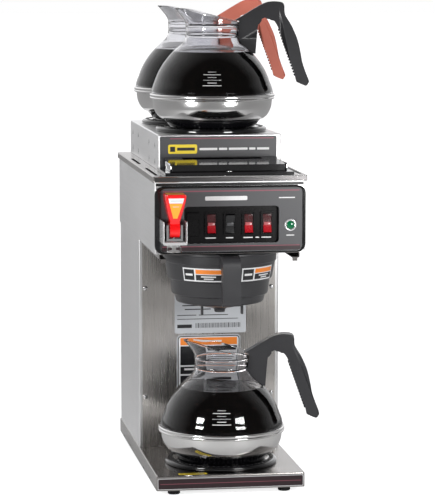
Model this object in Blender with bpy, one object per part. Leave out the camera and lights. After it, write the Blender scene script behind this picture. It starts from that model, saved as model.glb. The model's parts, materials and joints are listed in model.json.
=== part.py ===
"""Commercial coffee brewer with a lower and two upper warmers, three decanters, a pull-out funnel
and a hot-water faucet.

Every size here is in millimetres and new_object() turns it into metres. The cabinet frame has X to the
right, Y to the back and Z up: x = 0 is the cabinet's middle, y = 0 the base's front edge and z = 0 the
base's lower edge. centre_on_base() then puts the origin under the middle of the whole object.
"""
import math

import bpy
import bmesh
from mathutils import Vector

MM = 0.001
GAP = 0.3                    # clearance left between pieces that touch
SHEET = 1.2                  # sheet metal of the cabinet
ROUND = 24                   # sides of a large turned piece
SMALL_ROUND = 16             # sides of a small turned piece

# Base
BASE_WIDTH, BASE_DEPTH, BASE_HEIGHT = 222.3, 470.0, 22.0
FOOT_RADIUS, FOOT_HEIGHT = 9.5, 8.0
FOOT_X, FOOT_FRONT_Y, FOOT_BACK_Y = 83.0, 19.0, 450.0

# Trunk and head
TRUNK_WIDTH, TRUNK_FRONT, TRUNK_BACK = 220.5, 219.0, 461.5
PANEL_WIDTH = 209.0
INLET_PLACE, CORD_PLACE = (60.0, 70.0), (-60.0, 70.0)      # x and z on the trunk's back
HEAD_WIDTH, HEAD_FRONT, HEAD_BACK = 223.5, 14.0, 461.8
HEAD_BOTTOM, HEAD_TOP = 350.5, 463.3

# Lid and upper warmer box
LID_WIDTH, LID_FRONT, LID_BACK = 228.6, 8.0, 463.8
LID_BOTTOM, LID_TOP = 456.0, 465.0
BOX_WIDTH, BOX_FRONT, BOX_BACK, BOX_TOP = 187.0, 112.0, 458.0, 518.0
TRAY_FRONT_TOP, TRAY_SLOPE = 479.7, 0.06        # the tray's top falls a little towards the front

# Control panel: x limits and heights of the openings in it
BEZEL_HALF_WIDTH, BEZEL_BOTTOM, BEZEL_TOP, BEZEL_FRONT = 112.0, 350.8, 450.0, 8.6
OVERLAY = (-105.0, 108.0, 353.0, 447.0)
RECESS = (-68.6, 72.5, 365.0, 420.0)
SWITCH_MIDDLE = 393.2
SWITCH_WIDTH, SWITCH_HEIGHT = 20.0, 34.0
SWITCH_PLACES = {"lower_warmer_rocker": -27.2, "start_rocker": 0.7, "front_warmer_rocker": 28.2,
                 "rear_warmer_rocker": 55.9}
PLUG_X = -55.0
ROCKER_PIVOT_Y, ROCKER_TILT = 19.0, 8.0
LIGHT_X, LIGHT_Z = 89.3, 391.2

# Faucet
FAUCET_X, FAUCET_Y = -87.3, -17.0
LEVER_PIVOT_Z, SHANK_HEIGHT = 390.0, 385.0
CAM_RADIUS, CAM_FLAT, STEM_RADIUS = 12.0, 11.0, 1.9

# Funnel
FUNNEL_Y, FUNNEL_RIM, FUNNEL_TOP = 112.0, 88.0, 346.2
RAIL_LIP, RAIL_OUTER = 94.0, 104.8

# Warmers: centre (x, y) and the height of the sheet that each stands on
WARMERS = {"lower": (0.0, 100.0, BASE_HEIGHT), "upper_front": (0.0, 199.0, BOX_TOP),
           "upper_rear": (0.0, 371.0, BOX_TOP)}
RING_HEIGHT, RING_RADIUS, PLATE_RADIUS = 8.0, 85.5, 64.0
ELEMENT_RADIUS, ELEMENT_DEPTH = 56.0, 7.0
DECANTER_Y = {"lower": 93.0, "upper_front": 188.0, "upper_rear": 386.0}
DECANTER_TURN = -8.9         # degrees about Z from +X to the handle

# Tank
TANK_Y, TANK_RADIUS, TANK_BOTTOM, TANK_TOP, HEATER_HALF = 345.0, 78.0, 180.0, 430.0, 30.0


def material(name, colour, roughness, metallic=0.0, alpha=1.0):
    """A Principled material with one colour."""
    made = bpy.data.materials.new(name)
    made.use_nodes = True
    shader = made.node_tree.nodes["Principled BSDF"]
    shader.inputs["Base Color"].default_value = (*colour, 1.0)
    shader.inputs["Roughness"].default_value = roughness
    shader.inputs["Metallic"].default_value = metallic
    shader.inputs["Alpha"].default_value = alpha
    made.diffuse_color = (*colour, alpha)
    return made


STEEL = dict(colour=(0.55, 0.54, 0.53), roughness=0.32, metallic=1.0)
BRIGHT = dict(colour=(0.75, 0.75, 0.76), roughness=0.12, metallic=1.0)
BLACK = dict(colour=(0.015, 0.015, 0.017), roughness=0.35)
CHARCOAL = dict(colour=(0.05, 0.05, 0.055), roughness=0.5)
RUBBER = dict(colour=(0.02, 0.02, 0.02), roughness=0.85)
OVERLAY_GREY = dict(colour=(0.10, 0.105, 0.115), roughness=0.45)
RED = dict(colour=(0.75, 0.01, 0.02), roughness=0.3)
CLEAR = dict(colour=(0.80, 0.82, 0.85), roughness=0.05, alpha=0.3)
COPPER = dict(colour=(0.75, 0.38, 0.22), roughness=0.35, metallic=1.0)
MICA = dict(colour=(0.5, 0.48, 0.42), roughness=0.6)
BRASS = dict(colour=(0.70, 0.55, 0.25), roughness=0.3, metallic=1.0)


# ---------------------------------------------------------------- mesh helpers
def on_axis(axis, u, v, height):
    """A point u, v across the axis and height along it."""
    return {"X": (height, u, v), "Y": (u, height, v), "Z": (u, v, height)}[axis]


def rounded_rect(x0, x1, y0, y1, radius, steps=3):
    """The outline of a rectangle with round corners, anticlockwise."""
    corners = ((x1, y1, 0), (x0, y1, 90), (x0, y0, 180), (x1, y0, 270))
    outline = []
    for corner_x, corner_y, start in corners:
        centre_x = corner_x - math.copysign(radius, corner_x - (x0 + x1) / 2)
        centre_y = corner_y - math.copysign(radius, corner_y - (y0 + y1) / 2)
        for step in range(steps + 1):
            angle = math.radians(start + 90 * step / steps)
            outline.append((centre_x + radius * math.cos(angle), centre_y + radius * math.sin(angle)))
    return outline


def loft(bm, loops, axis="Z", closed=False):
    """Skin a row of outlines, each (outline, height); closed joins the last to the first."""
    rings = [[bm.verts.new(on_axis(axis, u, v, height)) for u, v in outline] for outline, height in loops]
    skin(bm, rings, closed)
    if not closed:
        bm.faces.new(rings[0])
        bm.faces.new(rings[-1])


def skin(bm, rings, closed):
    """Join each ring of points to the next; a ring of one point is a pole."""
    following = rings[1:] + ([rings[0]] if closed else [])
    for lower, upper in zip(rings, following):
        count = max(len(lower), len(upper))
        for k in range(count):
            n = (k + 1) % count
            below = [lower[k % len(lower)], lower[n % len(lower)]]
            above = [upper[n % len(upper)], upper[k % len(upper)]]
            bm.faces.new(list(dict.fromkeys(below + above)))


def lathe(bm, profile, centre=(0.0, 0.0, 0.0), axis="Z", sides=ROUND, closed=False):
    """Turn a profile of (radius, height) points about an axis through centre."""
    rings = []
    for radius, height in profile:
        count = sides if radius > 0 else 1
        ring = []
        for k in range(count):
            angle = 2 * math.pi * (k + 0.5) / sides
            point = Vector(on_axis(axis, radius * math.cos(angle), radius * math.sin(angle), height))
            ring.append(bm.verts.new(point + Vector(centre)))
        rings.append(ring)
    skin(bm, rings, closed)


def disc(bm, radius, low, high, centre=(0.0, 0.0), axis="Z", sides=ROUND):
    """A plain round solid; centre is the point across the axis."""
    lathe(bm, [(0, low), (radius, low), (radius, high), (0, high)], on_axis(axis, *centre, 0.0), axis, sides)


def block(bm, x, y, z, bevel=0.0, segments=2):
    """A block between x, y and z limits, with its edges rounded where bevel is set."""
    made = bmesh.ops.create_cube(bm, size=1.0)
    verts = made["verts"]
    for vert in verts:
        for index, (low, high) in enumerate((x, y, z)):
            vert.co[index] = high if vert.co[index] > 0 else low
    if bevel:
        edges = list({edge for vert in verts for edge in vert.link_edges})
        bmesh.ops.bevel(bm, geom=edges, offset=bevel, segments=segments, affect="EDGES", profile=0.5)


def prism(bm, outline, low, high, axis, bevel=0.0, segments=2):
    """Extrude an outline along an axis, with its end edges rounded where bevel is set."""
    ends = [[bm.verts.new(on_axis(axis, u, v, height)) for u, v in outline] for height in (low, high)]
    skin(bm, ends, False)
    caps = [bm.faces.new(end) for end in ends]
    if bevel:
        edges = list({edge for cap in caps for edge in cap.edges})
        bmesh.ops.bevel(bm, geom=edges, offset=bevel, segments=segments, affect="EDGES", profile=0.5)


def pan(bm, x, y, z_open, z_closed, sheet, corner, edge):
    """A shallow sheet metal box, open on one side, with round corners and a rounded closed edge."""
    outward = math.copysign(1.0, z_closed - z_open)
    loops = []

    def outline(inset, radius):
        return rounded_rect(x[0] + inset, x[1] - inset, y[0] + inset, y[1] - inset, radius)

    inner = outline(sheet, corner - sheet)
    loops.append((inner, z_closed - outward * sheet))
    loops.append((inner, z_open))
    loops.append((outline(0, corner), z_open))
    for step in range(3):
        angle = math.radians(45 * step)
        inset = edge * (1 - math.cos(angle))
        loops.append((outline(inset, corner - inset), z_closed - outward * edge * (1 - math.sin(angle))))
    loft(bm, loops)


def folded(bm, path, sheet, radius, low, high, axis="Z", steps=3):
    """Bend a strip of sheet along a path across the axis and extrude it along the axis."""
    points = [Vector(point) for point in path]
    centre_line = [(points[0], (points[1] - points[0]).normalized())]
    for before, corner, after in zip(points, points[1:], points[2:]):
        come, go = (corner - before).normalized(), (after - corner).normalized()
        turn = come.angle_signed(go)
        reach = radius * math.tan(abs(turn) / 2)
        for step in range(steps + 1):
            share = step / steps
            side = Vector((-come.y, come.x)) * -math.copysign(1.0, turn)
            pivot = corner - come * reach + side * radius
            angle = -turn * share
            spun = Vector((-side.x * math.cos(angle) + side.y * math.sin(angle),
                           -side.x * math.sin(angle) - side.y * math.cos(angle)))
            heading = Vector((come.x * math.cos(angle) - come.y * math.sin(angle),
                              come.x * math.sin(angle) + come.y * math.cos(angle)))
            centre_line.append((pivot + spun * radius, heading))
    centre_line.append((points[-1], (points[-1] - points[-2]).normalized()))
    left = [point + Vector((-heading.y, heading.x)) * sheet / 2 for point, heading in centre_line]
    right = [point - Vector((-heading.y, heading.x)) * sheet / 2 for point, heading in centre_line]
    outline = [tuple(point) for point in left] + [tuple(point) for point in reversed(right)]
    prism(bm, outline, low, high, axis)


def new_object(name, bm, finish, group, origin=(0.0, 0.0, 0.0)):
    """Make the named piece from a mesh in millimetres, with its origin at the given point."""
    bmesh.ops.recalc_face_normals(bm, faces=bm.faces)
    bmesh.ops.translate(bm, verts=bm.verts, vec=-Vector(origin))
    bmesh.ops.scale(bm, verts=bm.verts, vec=(MM, MM, MM))
    mesh = bpy.data.meshes.new(name)
    bm.to_mesh(mesh)
    bm.free()
    mesh.shade_smooth()
    mesh.set_sharp_from_angle(angle=math.radians(32))
    made = bpy.data.objects.new(name, mesh)
    bpy.context.collection.objects.link(made)
    made.parent = group
    made.location = Vector(origin) * MM
    if finish:
        mesh.materials.append(material(name, **finish))
    return made


def combine(target, bm, group, operation="DIFFERENCE", origin=(0.0, 0.0, 0.0)):
    """Cut a hidden helper solid out of the target, or join it on."""
    helper = new_object(target.name + "_helper", bm, None, group, origin)
    helper.hide_render = True
    helper.display_type = "WIRE"
    modifier = target.modifiers.new(operation.title(), "BOOLEAN")
    modifier.operation = operation
    modifier.object = helper


def group_at(name, parent, place=(0.0, 0.0, 0.0), turn=0.0):
    """An empty that pieces are placed from, at a joint's axis or a sub-assembly's origin."""
    made = bpy.data.objects.new(name, None)
    bpy.context.collection.objects.link(made)
    made.parent = parent
    made.location = Vector(place) * MM
    made.rotation_euler.z = math.radians(turn)
    return made


def tube(name, points, radius, finish, group):
    """A bent tube through the points, smoothed at its bends."""
    rounded = [Vector(points[0])]
    for before, corner, after in zip(points, points[1:], points[2:]):
        corner = Vector(corner)
        reach = min((corner - Vector(before)).length, (Vector(after) - corner).length) * 0.4
        reach = min(reach, radius * 5)
        start = corner + (Vector(before) - corner).normalized() * reach
        end = corner + (Vector(after) - corner).normalized() * reach
        for step in range(4):
            share = step / 3
            rounded.append(start.lerp(corner, share).lerp(corner.lerp(end, share), share))
    rounded.append(Vector(points[-1]))
    curve = bpy.data.curves.new(name, "CURVE")
    curve.dimensions = "3D"
    curve.bevel_depth = radius * MM
    curve.bevel_resolution = 2
    curve.use_fill_caps = True
    spline = curve.splines.new("POLY")
    spline.points.add(len(rounded) - 1)
    for knot, point in zip(spline.points, rounded):
        knot.co = (*(point * MM), 1.0)
    curve.materials.append(material(name, **finish))
    made = bpy.data.objects.new(name, curve)
    bpy.context.collection.objects.link(made)
    made.parent = group
    return made


# ---------------------------------------------------------------- base
def make_base(cabinet):
    half = BASE_WIDTH / 2
    profile = [(0, -FOOT_HEIGHT), (FOOT_RADIUS - 1.2, -FOOT_HEIGHT), (FOOT_RADIUS, -FOOT_HEIGHT + 1.2),
               (FOOT_RADIUS - 1, GAP), (0, GAP)]
    for side, x in (("left", -FOOT_X), ("right", FOOT_X)):
        for end, y in (("front", FOOT_FRONT_Y), ("back", FOOT_BACK_Y)):
            bm = bmesh.new()
            lathe(bm, profile, (x, y, 0), sides=SMALL_ROUND)
            new_object(f"rubber_foot_{end}_{side}", bm, RUBBER, cabinet)

    bm = bmesh.new()
    pan(bm, (-half, half), (0, BASE_DEPTH), 0, BASE_HEIGHT, SHEET, 3.0, 1.5)
    base = new_object("base_pan", bm, STEEL, cabinet)
    bm = bmesh.new()
    disc(bm, ELEMENT_RADIUS + 3, BASE_HEIGHT - 3, BASE_HEIGHT + 3, WARMERS["lower"][:2])
    block(bm, (-60, 60), (300, 420), (BASE_HEIGHT - 3, BASE_HEIGHT + 3))
    combine(base, bm, cabinet)

    bm = bmesh.new()
    inset = SHEET + GAP
    cover = rounded_rect(-half + inset, half - inset, inset, BASE_DEPTH - inset, 2.0)
    prism(bm, cover, 0.6, 0.6 + SHEET, "Z")
    new_object("base_bottom_cover", bm, STEEL, cabinet)

    bm = bmesh.new()
    prism(bm, rounded_rect(-108.8, 107.8, 2.9, 17.8, 1.5), -1.0, -GAP, "Y")
    new_object("base_front_trim", bm, dict(colour=(0.05, 0.03, 0.035), roughness=0.4), cabinet)


# ---------------------------------------------------------------- warmers
def make_warmers(cabinet):
    for place, (x, y, floor) in WARMERS.items():
        top = floor + RING_HEIGHT
        bm = bmesh.new()
        lathe(bm, [(PLATE_RADIUS + 0.8, floor + GAP), (RING_RADIUS - 1, floor + GAP),
                   (RING_RADIUS, floor + 1.5), (RING_RADIUS, floor + 4.5), (RING_RADIUS - 2.5, top - 1.4),
                   (RING_RADIUS - 5.0, top - 0.8), (PLATE_RADIUS + 0.8, top - 0.8)], (x, y, 0), closed=True)
        new_object("warmer_ring_" + place, bm, BLACK, cabinet)
        bm = bmesh.new()
        lathe(bm, [(0, top - 3.0), (PLATE_RADIUS - 6, top - 3.0), (PLATE_RADIUS - 6, floor + GAP),
                   (PLATE_RADIUS, floor + GAP), (PLATE_RADIUS, top - 1.2), (PLATE_RADIUS - 1.2, top),
                   (0, top)], (x, y, 0))
        new_object("warmer_plate_" + place, bm, BLACK, cabinet)

    bm = bmesh.new()
    element(bm, "lower")
    new_object("warmer_element_lower", bm, MICA, cabinet)
    bm = bmesh.new()
    element(bm, "upper_front")
    pair = new_object("warmer_elements_upper", bm, MICA, cabinet)
    bm = bmesh.new()
    element(bm, "upper_rear")
    combine(pair, bm, cabinet, "UNION")
    bm = bmesh.new()
    strap = BOX_TOP - ELEMENT_DEPTH
    block(bm, (-8, 8), (WARMERS["upper_front"][1], WARMERS["upper_rear"][1]), (strap + 0.5, strap + 3.0))
    combine(pair, bm, cabinet, "UNION")


def element(bm, place):
    """A round heating element that hangs through the sheet under a warmer plate."""
    x, y, floor = WARMERS[place]
    high = floor + RING_HEIGHT - 3.0 - GAP
    low = floor - ELEMENT_DEPTH
    profile = [(0, low), (ELEMENT_RADIUS - 1, low), (ELEMENT_RADIUS, low + 1), (ELEMENT_RADIUS, high), (0, high)]
    lathe(bm, profile, (x, y, 0))


# ---------------------------------------------------------------- trunk
def make_trunk(cabinet):
    half = (TRUNK_WIDTH - SHEET) / 2
    front = TRUNK_FRONT + SHEET * 1.5 + GAP
    low, high = BASE_HEIGHT + GAP, HEAD_BOTTOM - GAP
    bm = bmesh.new()
    folded(bm, [(half - 20, front), (half, front), (half, TRUNK_BACK - SHEET / 2),
                (-half, TRUNK_BACK - SHEET / 2), (-half, front), (-half + 20, front)], SHEET, 1.8, low, high)
    trunk = new_object("trunk_housing", bm, STEEL, cabinet)
    bm = bmesh.new()
    for x, z in (INLET_PLACE, CORD_PLACE):
        disc(bm, 8.3, TRUNK_BACK - 4, TRUNK_BACK + 4, (x, z), "Y", SMALL_ROUND)
    combine(trunk, bm, cabinet)

    bm = bmesh.new()
    prism(bm, rounded_rect(-PANEL_WIDTH / 2, PANEL_WIDTH / 2, low, high, 1.5, 1),
          TRUNK_FRONT, TRUNK_FRONT + SHEET, "Y")
    new_object("trunk_front_panel", bm, STEEL, cabinet)


# ---------------------------------------------------------------- head
def make_head(cabinet):
    half = HEAD_WIDTH / 2
    low = HEAD_BOTTOM + SHEET + GAP
    bm = bmesh.new()
    prism(bm, rounded_rect(-half, half, HEAD_FRONT, HEAD_BACK, 2.0), low, HEAD_TOP, "Z")
    head = new_object("head_housing", bm, STEEL, cabinet)
    bm = bmesh.new()
    inner = half - SHEET
    block(bm, (-inner, inner), (HEAD_FRONT + SHEET, HEAD_BACK - SHEET), (low - 5, HEAD_TOP + 5))
    combine(head, bm, cabinet)
    bm = bmesh.new()
    block(bm, (RECESS[0], RECESS[1]), (HEAD_FRONT - 5, HEAD_FRONT + 5), (RECESS[2], RECESS[3]))
    disc(bm, 6.6, HEAD_FRONT - 5, HEAD_FRONT + 5, (LIGHT_X, LIGHT_Z), "Y", SMALL_ROUND)
    disc(bm, 7.5, HEAD_FRONT - 5, HEAD_FRONT + 5, (FAUCET_X, SHANK_HEIGHT), "Y", SMALL_ROUND)
    combine(head, bm, cabinet)

    bm = bmesh.new()
    prism(bm, rounded_rect(-half + 0.3, half - 0.3, HEAD_FRONT + 0.3, HEAD_BACK - 0.3, 2.0),
          HEAD_BOTTOM, HEAD_BOTTOM + SHEET, "Z")
    floor = new_object("head_base_plate", bm, STEEL, cabinet)
    bm = bmesh.new()
    disc(bm, 8.0, HEAD_BOTTOM - 3, HEAD_BOTTOM + 4, (0, FUNNEL_Y), sides=SMALL_ROUND)
    disc(bm, TANK_RADIUS + 5, HEAD_BOTTOM - 3, HEAD_BOTTOM + 4, (0, TANK_Y))
    combine(floor, bm, cabinet)


def make_front(cabinet):
    left, right, low, high = OVERLAY
    half, edge = BEZEL_HALF_WIDTH, 1.2
    outer = rounded_rect(-half, half, BEZEL_BOTTOM, BEZEL_TOP, 12.0, 4)
    soft = rounded_rect(-half + edge, half - edge, BEZEL_BOTTOM + edge, BEZEL_TOP - edge, 10.8, 4)
    inner = rounded_rect(left, right, low, high, 8.0, 4)
    bm = bmesh.new()
    loft(bm, [(soft, BEZEL_FRONT), (outer, BEZEL_FRONT + edge), (outer, HEAD_FRONT - GAP),
              (inner, HEAD_FRONT - GAP), (inner, BEZEL_FRONT)], "Y", closed=True)
    new_object("front_bezel", bm, BLACK, cabinet)

    bm = bmesh.new()
    prism(bm, rounded_rect(left + GAP, right - GAP, low + GAP, high - GAP, 7.7, 4), 10.8, 13.0, "Y")
    panel = new_object("control_panel", bm, OVERLAY_GREY, cabinet)
    bm = bmesh.new()
    prism(bm, rounded_rect(*RECESS, 6.0, 3), 5.0, 20.0, "Y")
    disc(bm, 6.6, 5.0, 20.0, (LIGHT_X, LIGHT_Z), "Y", SMALL_ROUND)
    disc(bm, 7.5, 5.0, 20.0, (FAUCET_X, SHANK_HEIGHT), "Y", SMALL_ROUND)
    combine(panel, bm, cabinet)

    tray_front, pocket_floor = HEAD_FRONT + SHEET + GAP, 18.0
    bm = bmesh.new()
    wide, tall = (RECESS[0] - 6, RECESS[1] + 6), (RECESS[2] - 6, RECESS[3] + 6)
    block(bm, wide, (tray_front, pocket_floor + 1.5), tall)
    bank = new_object("switch_bank", bm, BLACK, cabinet)
    bm = bmesh.new()
    prism(bm, rounded_rect(*RECESS, 6.0, 3), tray_front - 3, pocket_floor, "Y")
    combine(bank, bm, cabinet)
    bm = bmesh.new()
    for x in SWITCH_PLACES.values():
        flange, body = switch_outline(x, SWITCH_WIDTH, SWITCH_HEIGHT), switch_outline(x, 16.4, 30.4)
        step = pocket_floor + 0.5
        loft(bm, [(flange, 15.9), (flange, step), (body, step), (body, 44.0)], "Y")
    combine(bank, bm, cabinet, "UNION")
    bm = bmesh.new()
    for x in SWITCH_PLACES.values():
        block(bm, (x - 6.9, x + 6.9), (12.0, 26.0), (SWITCH_MIDDLE - 14.7, SWITCH_MIDDLE + 14.7))
    block(bm, (PLUG_X - 8.5, PLUG_X + 8.5), (12.0, 26.0), (SWITCH_MIDDLE - 15.5, SWITCH_MIDDLE + 15.5))
    combine(bank, bm, cabinet)

    bm = bmesh.new()
    flange, body = switch_outline(PLUG_X, 19.2, 35.4), switch_outline(PLUG_X, 16.4, 30.4)
    loft(bm, [(switch_outline(PLUG_X, 17.5, 33.5), 15.3), (flange, 16.0), (flange, pocket_floor - GAP),
              (body, pocket_floor - GAP), (body, 24.0)], "Y")
    new_object("blank_plug", bm, BLACK, cabinet)

    for name, x in SWITCH_PLACES.items():
        make_rocker(name, x, cabinet)

    bm = bmesh.new()
    lathe(bm, [(0, 7.6), (3.4, 8.1), (5.4, 9.0), (7.0, 8.6), (8.2, 8.4), (9.2, 9.4), (9.2, 10.5), (6.1, 10.5),
               (6.1, 32.0), (0, 32.0)], (LIGHT_X, 0, LIGHT_Z), "Y", 24)
    new_object("ready_light", bm, dict(colour=(0.0, 0.35, 0.12), roughness=0.15), cabinet)


def switch_outline(x, width, height):
    """A rectangle in X and Z, centred on a switch."""
    low, high = SWITCH_MIDDLE - height / 2, SWITCH_MIDDLE + height / 2
    return rounded_rect(x - width / 2, x + width / 2, low, high, 0.8, 1)


def make_rocker(name, x, cabinet):
    """A rocker cap with a shallow V front; its empty stands on the pivot, and at rest it is tilted back."""
    pivot = group_at(name + "_pivot", cabinet, (x, ROCKER_PIVOT_Y, SWITCH_MIDDLE))
    side = [(-3.4, -13.6), (-1.6, 0.0), (-3.4, 13.6), (1.6, 13.9), (4.0, 3.0), (4.0, -3.0), (1.6, -13.9)]
    tilt = math.radians(-ROCKER_TILT if name != "start_rocker" else ROCKER_TILT)
    cos, sin = math.cos(tilt), math.sin(tilt)
    outline = [(y * cos - z * sin, y * sin + z * cos) for y, z in side]
    bm = bmesh.new()
    prism(bm, outline, -6.4, 6.4, "X", 0.5, 1)
    new_object(name, bm, BLACK if name == "start_rocker" else RED, pivot)


# ---------------------------------------------------------------- faucet
def make_faucet(cabinet):
    """A yoke-shaped body with its lever hub between two ears; a cam on the hub presses the stem down."""
    x, y = FAUCET_X, FAUCET_Y
    yoke_front, yoke_back, floor = y - 8.0, 1.5, 373.3
    bm = bmesh.new()
    block(bm, (x - 12.0, x + 12.0), (yoke_front, yoke_back), (floor, 397.0), 1.2, 1)
    body = new_object("faucet_body", bm, BRIGHT, cabinet)
    bm = bmesh.new()
    block(bm, (x - 9.0, x + 9.0), (yoke_front - 5, y + 13.0), (377.3, 405.0))
    combine(body, bm, cabinet)
    bm = bmesh.new()
    disc(bm, 6.2, 0.0, 40.0, (x, SHANK_HEIGHT), "Y", 14)
    combine(body, bm, cabinet, "UNION")
    bm = bmesh.new()
    disc(bm, STEM_RADIUS + 0.5, floor - 5, floor + 8, (x, y), sides=12)
    disc(bm, 1.9, x - 14, x + 14, (y, LEVER_PIVOT_Z), "X", 10)
    combine(body, bm, cabinet)

    bm = bmesh.new()
    walls = [(-17.6, 402.5), (-17.6, 368.6), (17.6, 368.6), (17.6, 402.5), (16.0, 402.5), (16.0, 373.0),
             (-16.0, 373.0), (-16.0, 402.5)]
    prism(bm, [(x + u, z) for u, z in walls], -33.0, 10.5, "Y")
    shroud = new_object("faucet_shroud", bm, BRIGHT, cabinet)
    bm = bmesh.new()
    disc(bm, 7.3, 360.0, 380.0, (x, y), sides=SMALL_ROUND)
    combine(shroud, bm, cabinet)

    bm = bmesh.new()
    bore = STEM_RADIUS + 0.5
    lathe(bm, [(bore, 373.0), (6.8, 373.0), (6.8, 368.2), (11.0, 367.6), (11.0, 357.0), (8.6, 357.0),
               (8.6, 365.5), (bore, 365.5)], (x, y, 0), sides=18, closed=True)
    nozzle = new_object("faucet_nozzle", bm, BRIGHT, cabinet)
    for reach_x, reach_y in ((15.0, 2.2), (2.2, 15.0)):
        bm = bmesh.new()
        block(bm, (x - reach_x, x + reach_x), (y - reach_y, y + reach_y), (359.0, 365.0))
        combine(nozzle, bm, cabinet)

    stem_top = LEVER_PIVOT_Z - CAM_FLAT - GAP
    stem = group_at("faucet_stem_axis", cabinet, (x, y, stem_top))
    bm = bmesh.new()
    lathe(bm, [(0, 0), (STEM_RADIUS, 0), (STEM_RADIUS, 366.5 - stem_top), (0, 366.5 - stem_top)], sides=12)
    new_object("faucet_stem", bm, BRASS, stem)
    bm = bmesh.new()
    disc(bm, 1.5, x - 12.0, x + 12.0, (y, LEVER_PIVOT_Z), "X", 10)
    new_object("faucet_pivot_pin", bm, BRIGHT, cabinet)

    pivot = group_at("faucet_lever_pivot", cabinet, (x, y, LEVER_PIVOT_Z))
    hub = [(CAM_RADIUS * math.cos(math.radians(angle)), CAM_RADIUS * math.sin(math.radians(angle)))
           for angle in [*range(35, -66, -20), *range(-114, -216, -20)]]
    bm = bmesh.new()
    prism(bm, hub + [(-13.4, 16.0), (-22.0, 44.0), (9.0, 44.0), (9.6, 18.0)], -7.3, 7.3, "X", 1.0, 1)
    lever = new_object("faucet_lever", bm, RED, pivot)
    levels = ((14.0, 7.6, -13.4, 9.4), (44.0, 14.8, -23.4, 10.2), (51.4, 15.0, -26.0, 10.2),
              (53.0, 13.6, -25.0, 9.0))
    bm = bmesh.new()
    loft(bm, [(rounded_rect(-half, half, front, back, 1.6, 1), level) for level, half, front, back in levels])
    combine(lever, bm, pivot, "UNION")
    bm = bmesh.new()
    disc(bm, 1.8, -20, 20, axis="X", sides=10)
    combine(lever, bm, pivot)


# ---------------------------------------------------------------- funnel
def make_funnel(cabinet):
    bm = bmesh.new()
    top, lip, outer = HEAD_BOTTOM - GAP - SHEET / 2, 341.9, RAIL_OUTER - SHEET / 2
    channel = [(-RAIL_LIP, lip), (-outer, lip), (-outer, top), (outer, top), (outer, lip), (RAIL_LIP, lip)]
    folded(bm, channel, SHEET, 1.5, 18.0, 205.0, axis="Y")
    rails = new_object("funnel_rails", bm, STEEL, cabinet)
    bm = bmesh.new()
    disc(bm, 22.0, HEAD_BOTTOM - 5, HEAD_BOTTOM + 5, (0, FUNNEL_Y), sides=24)
    combine(rails, bm, cabinet)
    bm = bmesh.new()
    for side in (-1, 1):
        block(bm, tuple(sorted((side * 94.4, side * 101.6))), (18.4, 20.0), (336.6, lip))
    combine(rails, bm, cabinet, "UNION")

    group = group_at("funnel_group", cabinet, (0, FUNNEL_Y, 0))
    outer = [(FUNNEL_RIM, FUNNEL_TOP), (FUNNEL_RIM, 342.6), (86.0, 341.4), (85.6, 330.2), (83.4, 328.4),
             (79.0, 303.8), (75.4, 301.6), (72.6, 279.8), (68.4, 278.2), (66.2, 268.4), (64.0, 266.6),
             (12.0, 256.0), (8.0, 249.4)]
    inner = [(5.0, 249.4), (6.0, 258.6), (61.6, 268.9), (64.0, 270.6), (66.0, 280.2), (70.3, 281.9),
             (73.1, 303.6), (76.8, 305.6), (81.0, 329.6), (83.6, FUNNEL_TOP)]
    bm = bmesh.new()
    lathe(bm, outer + inner, closed=True)
    bowl = new_object("funnel_bowl", bm, CHARCOAL, group)
    bm = bmesh.new()
    for side in (-1, 1):
        block(bm, tuple(sorted((side * 84.8, side * 101.5))), (-44, 44), (343.0, 346.2))
    combine(bowl, bm, group, "UNION")
    bm = bmesh.new()
    for angle in (217.0, 323.0, 90.0):
        centre = (38.0 * math.cos(math.radians(angle)), 38.0 * math.sin(math.radians(angle)))
        block(bm, (centre[0] - 1.6, centre[0] + 1.6), (centre[1] - 4.5, centre[1] + 4.5), (248.6, 263.0))
    combine(bowl, bm, group, "UNION")

    bm = bmesh.new()
    side = [(-82.0, 346.4), (-106.0, 346.4), (-113.0, 343.5), (-117.0, 337.0), (-118.0, 328.0), (-118.0, 278.0),
            (-115.5, 273.0), (-106.5, 273.0), (-104.0, 278.0), (-103.0, 318.0), (-99.0, 325.0), (-93.0, 328.0),
            (-82.0, 328.0)]
    prism(bm, side, -13.5, 13.5, "X", 2.2, 2)
    handle = new_object("funnel_handle", bm, CHARCOAL, group)
    bm = bmesh.new()
    disc(bm, FUNNEL_RIM + GAP, 320.0, 360.0)
    combine(handle, bm, group)

    bm = bmesh.new()
    lathe(bm, [(0, 347.2), (17.0, 347.2), (18.0, 348.0), (18.0, 349.6), (6.5, 350.1), (6.5, 360.0), (0, 360.0)],
          (0, FUNNEL_Y, 0), sides=24)
    new_object("spray_head", bm, BRIGHT, cabinet)


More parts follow.
